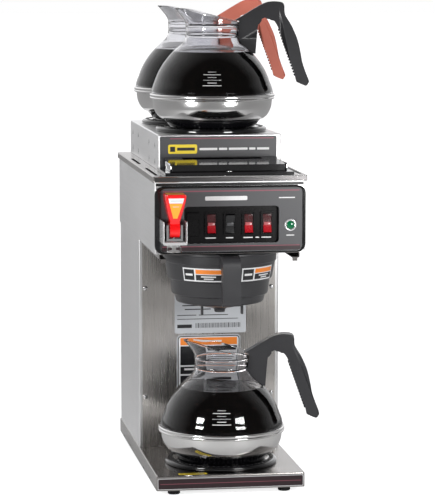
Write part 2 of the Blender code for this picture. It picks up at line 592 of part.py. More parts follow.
# ---------------------------------------------------------------- water and control pieces inside
def make_inside(cabinet):
    low, wall = TANK_BOTTOM, 1.5
    bm = bmesh.new()
    lathe(bm, [(0, low), (TANK_RADIUS - 6, low), (TANK_RADIUS, low + 6), (TANK_RADIUS, TANK_TOP),
               (TANK_RADIUS - wall, TANK_TOP), (TANK_RADIUS - wall, low + 6.6), (TANK_RADIUS - 6.6, low + wall),
               (0, low + wall)], (0, TANK_Y, 0), sides=24)
    new_object("tank", bm, BRIGHT, cabinet)

    bm = bmesh.new()
    lid_low, lid_high = TANK_TOP + GAP, TANK_TOP + 3.0
    disc(bm, TANK_RADIUS + 2, lid_low, lid_high, (0, TANK_Y), sides=24)
    tank_lid = new_object("tank_lid", bm, BRIGHT, cabinet)
    bm = bmesh.new()
    passages = ((HEATER_HALF, TANK_Y, 5.0), (-HEATER_HALF, TANK_Y, 5.0), (35, 375, 3.6), (0, 300, 5.2))
    for x, y, radius in passages:
        disc(bm, radius, TANK_TOP - 5, TANK_TOP + 10, (x, y), sides=12)
    combine(tank_lid, bm, cabinet)

    tube("tank_heater", [(-HEATER_HALF, TANK_Y, 446), (-HEATER_HALF, TANK_Y, 205), (HEATER_HALF, TANK_Y, 205),
                         (HEATER_HALF, TANK_Y, 446)], 4.2, COPPER, cabinet)
    bm = bmesh.new()
    lathe(bm, [(0, 330), (3.0, 330), (3.0, lid_high + GAP), (10.0, lid_high + GAP), (10.0, 447), (0, 447)],
          (35.0, 375.0, 0), sides=12)
    new_object("tank_thermostat", bm, BLACK, cabinet)
    route = [(0, 300, 418), (0, 300, 449), (0, FUNNEL_Y, 449), (0, FUNNEL_Y, 360.5)]
    tube("spray_tube", route, 4.6, CLEAR, cabinet)

    x, z = INLET_PLACE
    bm = bmesh.new()
    block(bm, (x - 16, x + 16), (418, 450), (z - 14, z + 14), 2.0, 1)
    valve = new_object("inlet_solenoid_valve", bm, BRASS, cabinet)
    bm = bmesh.new()
    disc(bm, 12.0, z + 10, z + 48, (x, 434), sides=SMALL_ROUND)
    combine(valve, bm, cabinet, "UNION")
    bm = bmesh.new()
    back = TRUNK_BACK
    lathe(bm, [(0, 450 + GAP), (7.8, 450 + GAP), (7.8, back + 1), (9.5, back + 1), (9.5, back + 6),
               (6.5, back + 7), (6.5, back + 15), (4.0, back + 16), (0, back + 16)],
          (x, 0, z), "Y", SMALL_ROUND)
    new_object("inlet_fitting", bm, BRASS, cabinet)
    x, z = CORD_PLACE
    bm = bmesh.new()
    lathe(bm, [(4.2, 450), (7.8, 450), (7.8, back + 1), (11.0, back + 1), (11.0, back + 6),
               (7.0, back + 16), (4.2, back + 16)], (x, 0, z), "Y", SMALL_ROUND, closed=True)
    new_object("cord_gland", bm, RUBBER, cabinet)

    bm = bmesh.new()
    block(bm, (-62, 62), (58, 59.6), (368, 444))
    board = new_object("control_board", bm, dict(colour=(0.02, 0.16, 0.06), roughness=0.5), cabinet)
    bm = bmesh.new()
    for low, high, depth in ((-50, -25, 22), (-8, 12, 16), (28, 52, 28)):
        block(bm, (low, high), (59.0, 59.0 + depth), (385, 415))
    combine(board, bm, cabinet, "UNION")


# ---------------------------------------------------------------- lid and upper warmer box
def make_top(cabinet):
    half = LID_WIDTH / 2
    bm = bmesh.new()
    pan(bm, (-half, half), (LID_FRONT, LID_BACK), LID_BOTTOM, LID_TOP, SHEET, 3.0, 1.5)
    lid = new_object("top_lid", bm, STEEL, cabinet)
    bm = bmesh.new()
    for side in (-1, 1):
        for start, end in ((25.0, 155.0), (228.0, 330.0)):
            x = sorted((side * 104.5, side * 109.0))
            prism(bm, rounded_rect(*x, start, end, 2.2, 2), LID_TOP - 4, LID_TOP + 4, "Z")
    for x, y, _ in (WARMERS["upper_front"], WARMERS["upper_rear"]):
        disc(bm, 12, LID_TOP - 4, LID_TOP + 4, (x, y), sides=SMALL_ROUND)
    block(bm, (-50, 50), (80, 102), (LID_TOP - 4, LID_TOP + 4))
    combine(lid, bm, cabinet)

    low = LID_TOP + GAP
    flange = rounded_rect(-95.5, 95.5, 13.0, BOX_FRONT - 2, 2.0, 1)
    body = rounded_rect(-85.0, 85.0, 26.0, BOX_FRONT - 4, 2.0, 1)
    bm = bmesh.new()
    loft(bm, [(flange, low), (flange, low + 4.2), (body, low + 4.2), (body, 488.0)])
    tray = new_object("pour_in_tray", bm, BLACK, cabinet)
    bm = bmesh.new()
    prism(bm, [(0, TRAY_FRONT_TOP - 26 * TRAY_SLOPE), (120, TRAY_FRONT_TOP + 94 * TRAY_SLOPE), (120, 500), (0, 500)],
          -100, 100, "X")
    combine(tray, bm, cabinet)
    bm = bmesh.new()
    prism(bm, rounded_rect(-60.0, 60.0, 82.0, 102.0, 2.0, 1), 472.0, 492.0, "Z")
    combine(tray, bm, cabinet)
    bm = bmesh.new()
    for k in range(5):
        x = -32 + 16 * k
        block(bm, (x - 4, x + 4), (85, 99), (low - 4, 474))
    combine(tray, bm, cabinet)

    half = BOX_WIDTH / 2
    bm = bmesh.new()
    pan(bm, (-half, half), (BOX_FRONT, BOX_BACK), low, BOX_TOP, SHEET, 2.5, 1.5)
    box = new_object("upper_warmer_box", bm, STEEL, cabinet)
    bm = bmesh.new()
    for x, y, _ in (WARMERS["upper_front"], WARMERS["upper_rear"]):
        disc(bm, ELEMENT_RADIUS + 1.5, BOX_TOP - 4, BOX_TOP + 4, (x, y))
    combine(box, bm, cabinet)

    bm = bmesh.new()
    prism(bm, rounded_rect(-90.6, 86.8, 468.0, 515.6, 2.5, 2), BOX_FRONT - 1.4, BOX_FRONT - GAP, "Y")
    new_object("upper_front_panel", bm, OVERLAY_GREY, cabinet)


# ---------------------------------------------------------------- decanters
DOME = [(93.0, 47.3), (91.6, 55.5), (88.4, 64.0), (82.0, 80.0), (72.0, 96.0), (57.5, 112.5), (45.5, 123.0),
        (40.6, 132.0), (40.6, 151.4)]
GLASS = 2.0
RIM_MEAN, RIM_RISE = 165.5, 10.7      # mouth height and how far it rises towards the spout
UNDERSIDE = -2.8                      # the decanter's flat base, from its group's origin


def mouth_ring(bm, share, inset):
    """A ring of the flared mouth, share of the way from the neck to the rim, with a pointed spout at -X."""
    ring = []
    for k in range(ROUND):
        angle = 2 * math.pi * (k + 0.5) / ROUND
        from_spout = abs(math.pi - angle)
        rim_radius = 41.5 + 16.5 * math.exp(-(from_spout / 0.42) ** 2)
        radius = 40.6 + (rim_radius - 40.6) * share ** 1.4 - inset
        height = 151.4 + (RIM_MEAN - RIM_RISE * math.cos(angle) - 151.4) * share
        ring.append(bm.verts.new((radius * math.cos(angle), radius * math.sin(angle), height)))
    return ring


def plain_ring(bm, radius, height):
    """A round ring of the same number of points as a mouth ring."""
    angles = [2 * math.pi * (k + 0.5) / ROUND for k in range(ROUND)]
    return [bm.verts.new((radius * math.cos(angle), radius * math.sin(angle), height)) for angle in angles]


def make_decanter(place, cabinet, handle_finish):
    x, _, floor = WARMERS[place]
    height = floor + RING_HEIGHT + GAP - UNDERSIDE
    group = group_at(place + "_decanter_group", cabinet, (x, DECANTER_Y[place], height), DECANTER_TURN)
    bm = bmesh.new()
    low = UNDERSIDE
    outer = [(0, low), (65.0, low), (66.5, low + 1.4), (74.0, 8.0), (79.4, 9.8), (85.6, 16.0), (90.2, 26.4),
             (91.8, 38.6), (95.6, 39.4), (95.6, 46.2), (94.6, 47.0)]
    inner = [(90.6, 47.0), (88.8, 27.0), (84.4, 17.2), (78.7, 11.4), (73.0, 9.4), (65.2, low + 1.6),
             (0, low + 1.6)]
    lathe(bm, outer + inner)
    new_object(place + "_decanter_bowl", bm, BRIGHT, group)

    bm = bmesh.new()
    rings = [plain_ring(bm, radius, z) for radius, z in DOME]
    rings += [mouth_ring(bm, share, 0.0) for share in (0.5, 1.0)]
    rings += [mouth_ring(bm, share, GLASS) for share in (1.0, 0.5)]
    rings += [plain_ring(bm, radius - GLASS, z) for radius, z in reversed(DOME)]
    skin(bm, rings, True)
    new_object(place + "_decanter_top", bm, CLEAR, group)

    grip = [(34.0, 157.6), (60.0, 173.2), (78.0, 183.4), (90.6, 186.4), (104.0, 185.6), (108.4, 183.2),
            (109.6, 179.0), (110.2, 167.4), (114.2, 160.6), (122.2, 147.0), (128.7, 132.2), (134.6, 109.0),
            (137.2, 95.0), (148.0, 65.0), (143.4, 58.4), (128.8, 64.8), (125.3, 78.0), (111.8, 112.6),
            (100.8, 146.2), (93.8, 157.2), (85.4, 162.2), (77.6, 160.9), (71.8, 156.4), (69.4, 148.6),
            (66.0, 107.0), (40.0, 112.0), (40.0, 157.2)]
    bm = bmesh.new()
    prism(bm, grip, -11.5, 11.5, "Y", 3.0, 2)
    handle = new_object(place + "_decanter_handle", bm, handle_finish, group)
    bm = bmesh.new()
    saddle = [(radius + 0.5, z) for radius, z in DOME[2:]]
    lathe(bm, [(0, DOME[2][1])] + saddle + [(42.4, 153.0), (42.4, 157.0), (0, 157.0)])
    combine(handle, bm, group)


# ---------------------------------------------------------------- assembly
def centre_on_base(root):
    """Move the root so that the origin is under the middle of the whole object, at its lowest level."""
    bpy.context.view_layer.update()
    points = [piece.matrix_world @ vert.co for piece in bpy.data.objects
              if piece.type == "MESH" and not piece.hide_render for vert in piece.data.vertices]
    low = [min(point[i] for point in points) for i in range(3)]
    high = [max(point[i] for point in points) for i in range(3)]
    root.location = (-(low[0] + high[0]) / 2, -(low[1] + high[1]) / 2, -low[2])
    bpy.context.view_layer.update()


def main():
    for old in list(bpy.data.objects):
        bpy.data.objects.remove(old)
    cabinet = group_at("cabinet", None)
    make_base(cabinet)
    make_warmers(cabinet)
    make_trunk(cabinet)
    make_head(cabinet)
    make_front(cabinet)
    make_faucet(cabinet)
    make_funnel(cabinet)
    make_inside(cabinet)
    make_top(cabinet)
    make_decanter("lower", cabinet, CHARCOAL)
    make_decanter("upper_front", cabinet, CHARCOAL)
    make_decanter("upper_rear", cabinet, dict(colour=(0.85, 0.15, 0.07), roughness=0.45))
    centre_on_base(cabinet)


main()
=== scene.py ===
"""A commercial coffee brewer with three warmers and three decanters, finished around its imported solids.

Sizes are in millimetres in the cabinet's frame: X right, Y back and Z up, from the middle of the base's
lower front edge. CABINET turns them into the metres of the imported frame.
"""
import json
from math import copysign, cos, exp, pi, radians, sin

import bmesh
import bpy
import numpy as np
from mathutils import Matrix, Vector


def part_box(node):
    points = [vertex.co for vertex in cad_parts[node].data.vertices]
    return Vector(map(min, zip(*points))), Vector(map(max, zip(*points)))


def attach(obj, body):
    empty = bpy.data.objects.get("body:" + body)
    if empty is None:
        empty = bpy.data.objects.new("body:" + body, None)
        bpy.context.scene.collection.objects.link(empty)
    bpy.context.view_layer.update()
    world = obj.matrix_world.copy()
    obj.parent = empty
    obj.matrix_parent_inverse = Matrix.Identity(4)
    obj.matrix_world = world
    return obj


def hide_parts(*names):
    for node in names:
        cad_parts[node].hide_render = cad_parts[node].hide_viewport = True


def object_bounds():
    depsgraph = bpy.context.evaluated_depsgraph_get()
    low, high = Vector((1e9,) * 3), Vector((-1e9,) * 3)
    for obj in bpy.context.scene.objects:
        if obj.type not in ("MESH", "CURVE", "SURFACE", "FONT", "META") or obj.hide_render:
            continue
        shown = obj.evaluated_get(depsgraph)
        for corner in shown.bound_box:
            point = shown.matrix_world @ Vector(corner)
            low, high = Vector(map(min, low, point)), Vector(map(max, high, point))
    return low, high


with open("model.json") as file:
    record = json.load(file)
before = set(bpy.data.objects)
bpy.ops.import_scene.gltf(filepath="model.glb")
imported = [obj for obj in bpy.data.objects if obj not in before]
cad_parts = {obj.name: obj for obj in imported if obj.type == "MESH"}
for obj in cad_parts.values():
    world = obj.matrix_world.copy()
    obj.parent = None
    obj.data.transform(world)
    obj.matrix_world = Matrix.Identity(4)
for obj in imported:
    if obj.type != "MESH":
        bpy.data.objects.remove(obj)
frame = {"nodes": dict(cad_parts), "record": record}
CAD_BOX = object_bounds()

MM = 0.001
ROUND = 96                   # sides of a large turned piece
FILM = 0.15                  # thickness of a stuck-on label
INK = 0.06                   # how far a printed mark stands on its label

base_low, base_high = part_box("base_pan")
CABINET = Matrix.Translation(((base_low.x + base_high.x) / 2, base_low.y, base_low.z)) @ Matrix.Scale(MM, 4)


def cad(node):
    """Lowest and highest corners of a CAD node, in the cabinet's millimetres."""
    low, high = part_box(node)
    return CABINET.inverted() @ low, CABINET.inverted() @ high


# ---------------- shapes
def on_axis(axis, u, v, height):
    """A point u, v across the axis and height along it."""
    return {"X": (height, u, v), "Y": (u, height, v), "Z": (u, v, height)}[axis]


def rounded_rect(x0, x1, y0, y1, radius, steps=4):
    """The outline of a rectangle with round corners, anticlockwise."""
    outline = []
    for corner_x, corner_y, start in ((x1, y1, 0), (x0, y1, 90), (x0, y0, 180), (x1, y0, 270)):
        centre_x = corner_x - copysign(radius, corner_x - (x0 + x1) / 2)
        centre_y = corner_y - copysign(radius, corner_y - (y0 + y1) / 2)
        for step in range(steps + 1):
            angle = radians(start + 90 * step / steps)
            outline.append((centre_x + radius * cos(angle), centre_y + radius * sin(angle)))
    return outline


def smooth(points, steps=4):
    """Points along a smooth curve through the given ones."""
    last = len(points) - 1
    curve = []
    for k in range(last):
        before, start, end, after = (points[min(max(k + i, 0), last)] for i in (-1, 0, 1, 2))
        for step in range(steps):
            t = step / steps
            curve.append(tuple(
                s + 0.5 * t * (e - b + t * (2 * b - 5 * s + 4 * e - a + t * (3 * s - b - 3 * e + a)))
                for b, s, e, a in zip(before, start, end, after)))
    return curve + [points[-1]]


def skin(bm, rings, closed=False):
    """Join each ring of points to the next; a ring of one point is a pole."""
    following = rings[1:] + ([rings[0]] if closed else [])
    for lower, upper in zip(rings, following):
        count = max(len(lower), len(upper))
        for k in range(count):
            n = (k + 1) % count
            below = [lower[k % len(lower)], lower[n % len(lower)]]
            above = [upper[n % len(upper)], upper[k % len(upper)]]
            bm.faces.new(list(dict.fromkeys(below + above)))


def loft(bm, loops, axis="Z", closed=False):
    """Skin a row of outlines, each (outline, height), and cap its ends unless it is closed."""
    rings = [[bm.verts.new(on_axis(axis, u, v, height)) for u, v in outline] for outline, height in loops]
    skin(bm, rings, closed)
    if not closed:
        bm.faces.new(rings[0])
        bm.faces.new(rings[-1])


def lathe(bm, profile, centre=(0.0, 0.0, 0.0), axis="Z", sides=ROUND, closed=False):
    """Turn a profile of (radius, height) points about an axis through centre."""
    rings = []
    for radius, height in profile:
        ring = []
        for k in range(sides if radius > 0 else 1):
            angle = 2 * pi * k / sides
            point = Vector(on_axis(axis, radius * cos(angle), radius * sin(angle), height))
            ring.append(bm.verts.new(point + Vector(centre)))
        rings.append(ring)
    skin(bm, rings, closed)


def bevel(bm, edges, width, segments):
    bmesh.ops.bevel(bm, geom=edges, offset=width, segments=segments, affect="EDGES", profile=0.5)


def prism(bm, outline, low, high, axis, edge=0.0, segments=2):
    """Extrude an outline along an axis, with its end edges rounded where edge is set."""
    ends = [[bm.verts.new(on_axis(axis, u, v, height)) for u, v in outline] for height in (low, high)]
    skin(bm, ends)
    caps = [bm.faces.new(end) for end in ends]
    if edge:
        bevel(bm, list({side for cap in caps for side in cap.edges}), edge, segments)


def block(bm, x, y, z, edge=0.0, segments=2):
    """A block between x, y and z limits, with its edges rounded where edge is set."""
    verts = bmesh.ops.create_cube(bm, size=1.0)["verts"]
    for vert in verts:
        for index, (low, high) in enumerate((x, y, z)):
            vert.co[index] = high if vert.co[index] > 0 else low
    if edge:
        bevel(bm, list({side for vert in verts for side in vert.link_edges}), edge, segments)


def curved_patch(bm, angles, heights, radius_at, lift, thickness):
    """A thin shell on a round surface, between two angles in degrees and two heights."""
    columns = max(2, round(abs(angles[1] - angles[0]) / 2.5))
    rows = max(1, round(abs(heights[1] - heights[0]) / 2.5))
    rings = []
    for row in range(rows + 1):
        height = heights[0] + (heights[1] - heights[0]) * row / rows
        outer = radius_at(height) + lift
        sweep = [radians(angles[0] + (angles[1] - angles[0]) * k / columns) for k in range(columns + 1)]
        path = [(outer, angle) for angle in sweep] + [(outer - thickness, angle) for angle in reversed(sweep)]
        rings.append([bm.verts.new((r * cos(a), r * sin(a), height)) for r, a in path])
    skin(bm, rings)
    for ring in (rings[0], rings[-1]):
        for k in range(columns):
            bm.faces.new((ring[k], ring[k + 1], ring[-2 - k], ring[-1 - k]))


def solid(shape, *sizes, **options):
    """A new mesh that holds one shape."""
    bm = bmesh.new()
    shape(bm, *sizes, **options)
    return bm


def as_mesh(bm, name):
    """Mesh data made from a bmesh, which is then let go."""
    mesh = bpy.data.meshes.new(name)
    bm.to_mesh(mesh)
    bm.free()
    return mesh


def add_object(name, data):
    made = bpy.data.objects.new(name, data)
    bpy.context.scene.collection.objects.link(made)
    return made


def combined(bm, tool, operation="DIFFERENCE"):
    """The first solid with the second cut out of it or joined to it."""
    pair = []
    for each in (bm, tool):
        bmesh.ops.recalc_face_normals(each, faces=each.faces)
        pair.append(add_object("helper", as_mesh(each, "helper")))
    modifier = pair[0].modifiers.new("Boolean", "BOOLEAN")
    modifier.operation = operation
    modifier.object = pair[1]
    bpy.context.view_layer.update()
    result = bmesh.new()
    result.from_mesh(pair[0].evaluated_get(bpy.context.evaluated_depsgraph_get()).data)
    for helper in pair:
        bpy.data.objects.remove(helper)
    return result


def make_piece(name, bm, look, body="cabinet", replaces=(), place=CABINET, sharp=32.0):
    """Make the named piece from a mesh in millimetres, riding on a CAD body."""
    bmesh.ops.recalc_face_normals(bm, faces=bm.faces)
    bm.transform(place)
    mesh = as_mesh(bm, name)
    mesh.shade_smooth()
    mesh.set_sharp_from_angle(angle=radians(sharp))
    mesh.materials.append(look)
    made = add_object(name, mesh)
    if replaces:
        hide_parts(*replaces)
    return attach(made, body)


def soften(made, width, segments):
    """Round a piece's sharp edges."""
    soft = made.modifiers.new("soft_edges", "BEVEL")
    soft.width = width * MM
    soft.segments = segments
    soft.limit_method = "ANGLE"
    soft.angle_limit = radians(40)
    soft.harden_normals = True


def flatten(made):
    """Shade a piece's large faces flat, and let only its narrow rounded edges turn."""
    weighted = made.modifiers.new("flat_faces", "WEIGHTED_NORMAL")
    weighted.keep_sharp = True
    weighted.weight = 100


def marks(name, rects, y, look, rise=INK, corner=0.3):
    """Thin upright rectangles (x0, x1, z0, z1), rise thick, whose hind faces lie at y."""
    bm = bmesh.new()
    for x0, x1, z0, z1 in rects:
        prism(bm, rounded_rect(x0, x1, z0, z1, corner), y - rise, y, "Y")
    return make_piece(name, bm, look)


# ---------------- looks
NOISE_RANGE = (0.35, 0.65)   # where nearly all of the noise lies


def add_node(tree, kind, **values):
    """A new shader node, with some of its inputs set."""
    made = tree.nodes.new("ShaderNode" + kind)
    for socket, value in values.items():
        made.inputs[socket.replace("_", " ")].default_value = value
    return made


def textured(name, colour, roughness, metallic=0.0, grain=900.0, shade=0.1, swing=0.05, bump=0.1, depth=0.02,
             patches=30.0, sockets=None):
    """A Principled material whose colour, roughness and surface vary.

    grain is how many times a metre the fine texture changes, one number or one for each axis, and patches
    the same for slow differences such as handling marks; shade and swing are how far they move the colour
    and roughness, and bump and depth (in millimetres) how strong and how deep the grain is.
    """
    made = bpy.data.materials.new(name)
    made.use_nodes = True
    tree = made.node_tree
    link = tree.links.new
    shader = tree.nodes["Principled BSDF"]
    shader.inputs["Metallic"].default_value = metallic
    for socket, value in (sockets or {}).items():
        shader.inputs[socket].default_value = value
    coordinates = add_node(tree, "TexCoord")
    stretch = add_node(tree, "Mapping", Scale=grain if isinstance(grain, tuple) else (grain, grain, grain))
    link(coordinates.outputs["Object"], stretch.inputs["Vector"])
    fine = add_node(tree, "TexNoise", Scale=1.0, Detail=3.0)
    link(stretch.outputs["Vector"], fine.inputs["Vector"])
    slow = add_node(tree, "TexNoise", Scale=patches, Detail=4.0)
    link(coordinates.outputs["Object"], slow.inputs["Vector"])
    both = add_node(tree, "Mix", Factor=0.5)
    link(fine.outputs["Fac"], both.inputs["A"])
    link(slow.outputs["Fac"], both.inputs["B"])
    tint = add_node(tree, "ValToRGB")
    for stop, position, gain in zip(tint.color_ramp.elements, NOISE_RANGE, (1 - shade, 1 + shade)):
        stop.position = position
        stop.color = (*[min(1.0, value * gain) for value in colour], 1.0)
    link(both.outputs["Result"], tint.inputs["Fac"])
    link(tint.outputs["Color"], shader.inputs["Base Color"])
    spread = add_node(tree, "MapRange", From_Min=NOISE_RANGE[0], From_Max=NOISE_RANGE[1],
                      To_Min=max(0.02, roughness - swing), To_Max=roughness + swing)
    link(both.outputs["Result"], spread.inputs["Value"])
    link(spread.outputs["Result"], shader.inputs["Roughness"])
    relief = add_node(tree, "Bump", Strength=bump, Distance=depth * MM)
    link(fine.outputs["Fac"], relief.inputs["Height"])
    link(relief.outputs["Normal"], shader.inputs["Normal"])
    return made


def coat(weight, roughness):
    """The sockets of a thin clear coat."""
    return {"Coat Weight": weight, "Coat Roughness": roughness}


# Painted light and painted shade: the same brushed steel in three tones, palest on the sides, darker and
# warmer on the upright front, darkest on the base pan, lid and rails, for how light falls on the way each
# faces.
SIDE_STEEL_PAINTED_LIGHT = textured("steel_brushed_sides_painted_light", (0.86, 0.86, 0.865), 0.33, 1.0, (900.0, 12.0, 900.0), 0.05, 0.05,
                      0.25, 0.02, 4.0, {"Anisotropic": 0.35})
FRONT_STEEL_PAINTED_SHADE = textured("steel_brushed_upright_painted_shade", (0.60, 0.575, 0.55), 0.28, 1.0, (1100.0, 900.0, 10.0), 0.07,
                       0.06, 0.35, 0.02, 4.0, {"Anisotropic": 0.5})
TOP_STEEL_PAINTED_SHADE = textured("steel_brushed_across_painted_shade", (0.33, 0.315, 0.305), 0.20, 1.0, (10.0, 1100.0, 900.0), 0.07,
                     0.06, 0.35, 0.02, 4.0, {"Anisotropic": 0.5})
SPUN_STEEL = textured("steel_spun_polished", (0.72, 0.715, 0.71), 0.15, 1.0, (6.0, 6.0, 1500.0), 0.03, 0.04,
                      0.12, 0.01, 7.0, {"Anisotropic": 0.3})
CHROME = textured("chrome_plate", (0.80, 0.80, 0.81), 0.07, 1.0, 300.0, 0.02, 0.03, 0.05, 0.02, 20.0)
BLACK_PLASTIC = textured("plastic_black_satin", (0.006, 0.006, 0.007), 0.30, 0.0, 1600.0, 0.15,
                         0.06, 0.25, 0.02, 14.0)
GLOSS_BLACK = textured("plastic_black_gloss", (0.004, 0.004, 0.005), 0.12, 0.0, 260.0, 0.1, 0.05,
                       0.12, 0.03, 14.0, coat(0.4, 0.06))
ENAMEL = textured("enamel_black_gloss", (0.004, 0.004, 0.005), 0.11, 0.0, 420.0, 0.15, 0.05,
                  0.25, 0.05, 16.0, coat(0.6, 0.05))
CHARCOAL = textured("plastic_charcoal", (0.032, 0.032, 0.035), 0.34, 0.0, 1400.0, 0.12, 0.06,
                    0.30, 0.03, 12.0)
ORANGE_PLASTIC = textured("plastic_orange", (1.0, 0.27, 0.19), 0.36, 0.0, 1400.0, 0.06, 0.06,
                          0.25, 0.03, 12.0)
RED_PLASTIC = textured("plastic_red_gloss", (0.86, 0.006, 0.008), 0.20, 0.0, 500.0, 0.06, 0.05,
                       0.12, 0.03, 18.0, coat(0.5, 0.05))
# Painted shade and painted light: the red lens in two tones, dark for the cap's upper half that faces down
# and bright for the lower half that faces up to the light.
RED_LENS_PAINTED_SHADE = textured("rocker_red_painted_shade", (0.055, 0.002, 0.004), 0.22, 0.0, 500.0, 0.12, 0.05,
                    0.12, 0.03, 60.0, coat(0.5, 0.08))
RED_PAINTED_LIGHT = textured("rocker_red_painted_light", (0.42, 0.004, 0.012), 0.26, 0.0, 500.0, 0.12, 0.05,
                   0.12, 0.03, 60.0, coat(0.4, 0.08))
# Partly painted highlight: the window bars' pale pink, and the grey on the start rocker, also stand in for
# the highlight along the crease of the hollow front.
PINK_WINDOW_PAINTED_HIGHLIGHT = textured("rocker_window_painted_highlight", (0.46, 0.11, 0.12), 0.30, 0.0, 700.0, 0.10, 0.05,
                     0.12, 0.03, 60.0, coat(0.4, 0.08))
GREY_WINDOW_PAINTED_HIGHLIGHT = textured("rocker_window_grey_painted_highlight", (0.07, 0.07, 0.075), 0.30, 0.0, 700.0, 0.10, 0.05,
                       0.12, 0.03, 60.0)
OVERLAY_FILM = textured("film_dark_grey", (0.070, 0.070, 0.075), 0.42, 0.0, 2200.0, 0.07, 0.05,
                        0.20, 0.02, 6.0)
MAROON_FILM = textured("film_maroon", (0.022, 0.008, 0.011), 0.40, 0.0, 2200.0, 0.10, 0.05,
                       0.15, 0.02, 8.0)
ROSE_INK = textured("ink_rose", (0.24, 0.070, 0.095), 0.40, shade=0.08)
WHITE_INK = textured("ink_white", (0.80, 0.80, 0.80), 0.40, shade=0.05)
WHITE_VINYL = textured("vinyl_white", (0.78, 0.79, 0.80), 0.32, 0.0, 700.0, 0.04, 0.05,
                       0.10, 0.02, 12.0, {"Coat Weight": 0.2})
SILVER_VINYL = textured("vinyl_silver", (0.58, 0.60, 0.63), 0.34, 0.15, 900.0, 0.05, 0.05,
                        0.10, 0.02, 12.0)
BLACK_INK = textured("ink_black", (0.012, 0.012, 0.014), 0.35)
ORANGE_VINYL = textured("vinyl_orange", (0.93, 0.26, 0.030), 0.34, 0.0, 700.0, 0.05, 0.05,
                        0.10, 0.02, 16.0)
AMBER_VINYL = textured("vinyl_amber", (0.96, 0.40, 0.035), 0.34, 0.0, 700.0, 0.05, 0.05,
                       0.10, 0.02, 16.0)
YELLOW_VINYL = textured("vinyl_yellow", (0.90, 0.68, 0.040), 0.34, 0.0, 700.0, 0.05, 0.05,
                        0.10, 0.02, 16.0)
GREEN_LENS = textured("lens_green", (0.0, 0.13, 0.045), 0.10, 0.0, 400.0, 0.15, 0.04, 0.10, 0.03, 60.0,
                      {"Coat Weight": 0.3, "Coat Roughness": 0.04, "Emission Color": (0.0, 0.5, 0.2, 1.0),
                       "Emission Strength": 0.03})
CLEAR_PLASTIC = textured("plastic_clear_smoky", (0.88, 0.88, 0.90), 0.03, 0.0, 40.0, 0.02, 0.01,
                         0.015, 0.03, 10.0, {"Transmission Weight": 1.0, "IOR": 1.49})
# Partly painted reflection: a satin plating, half metal and half pale diffuse colour, so the chrome
# ready-light ring and faucet cheeks look bright instead of mirroring the dark room.
PLATE_PAINTED_REFLECTION = textured("plating_satin_painted_reflection", (0.84, 0.84, 0.85), 0.20, 0.6, 300.0, 0.02, 0.04, 0.05, 0.02,
                        20.0)
# Painted shade: a darker black with a weaker reflection for the switch recess and blank plug, standing in for
# the shade in the recess.
RECESS_BLACK_PAINTED_SHADE = textured("plastic_black_recess_painted_shade", (0.0025, 0.002, 0.0025), 0.28, 0.0, 900.0, 0.1, 0.05,
                        0.12, 0.02, 14.0, {"Specular IOR Level": 0.22})
# Painted highlight: a lighter black enamel for the drip rings' ribs, standing in for the glints that show
# them as a row of bright dots.
RIB_ENAMEL_PAINTED_HIGHLIGHT = textured("enamel_black_painted_highlight", (0.030, 0.030, 0.032), 0.20, 0.0, 420.0, 0.15, 0.05,
                       0.20, 0.04, 16.0, coat(0.6, 0.08))
COFFEE = textured("coffee", (0.003, 0.0018, 0.0014), 0.08, 0.0, 30.0, 0.2, 0.02, 0.02, 0.05, 10.0,
                  {"Specular IOR Level": 0.1})
# Painted shade: dark steel for a band over the lid's front face, standing in for the dark reflection there.
SHADED_STEEL = textured("steel_painted_shade", (0.15, 0.145, 0.145), 0.26, 1.0, (10.0, 1100.0, 900.0), 0.07, 0.05,
                        0.3, 0.02, 6.0)
RUBBER = textured("rubber_black", (0.020, 0.020, 0.021), 0.75, 0.0, 900.0, 0.2, 0.1, 0.4, 0.05, 20.0)
BRASS = textured("brass_turned", (0.62, 0.43, 0.17), 0.28, 1.0, (900.0, 60.0, 900.0), 0.08, 0.06, 0.2, 0.02,
                 20.0)
COPPER = textured("copper_tube", (0.72, 0.34, 0.20), 0.32, 1.0, 200.0, 0.15, 0.08, 0.1, 0.02, 20.0)
SILICONE = textured("silicone_tube", (0.72, 0.74, 0.77), 0.40, 0.0, 150.0, 0.04, 0.06, 0.1, 0.03,
                    20.0, {"Subsurface Weight": 0.3, "Subsurface Scale": 0.003})
MICA = textured("heater_mica", (0.45, 0.42, 0.36), 0.55, 0.3, 350.0, 0.25, 0.1, 0.3, 0.05, 20.0)
CIRCUIT = textured("circuit_board_green", (0.015, 0.13, 0.05), 0.40, 0.0, 500.0, 0.3, 0.1, 0.2,
                   0.05, 120.0)

SLOT_LOOKS = {
    "rubber": RUBBER, "brushed_steel": SIDE_STEEL_PAINTED_LIGHT, "chrome": CHROME, "polished_steel": SPUN_STEEL,
    "black_plastic": BLACK_PLASTIC, "overlay": OVERLAY_FILM, "trim_strip": MAROON_FILM,
    "red_plastic": RED_PLASTIC, "green_lens": GREEN_LENS, "charcoal_plastic": CHARCOAL,
    "orange_plastic": ORANGE_PLASTIC, "clear_plastic": CLEAR_PLASTIC, "silicone": SILICONE,
    "black_enamel": ENAMEL, "element_sheath": MICA, "copper": COPPER, "brass": BRASS,
    "circuit_board": CIRCUIT,
}
NODE_LOOKS = {"base_pan": TOP_STEEL_PAINTED_SHADE, "trunk_front_panel": FRONT_STEEL_PAINTED_SHADE, "top_lid": TOP_STEEL_PAINTED_SHADE,
              "pour_in_tray": GLOSS_BLACK, "funnel_rails": TOP_STEEL_PAINTED_SHADE, "front_bezel": GLOSS_BLACK,
              "switch_bank": RECESS_BLACK_PAINTED_SHADE, "blank_plug": RECESS_BLACK_PAINTED_SHADE, "faucet_stem": CHROME}
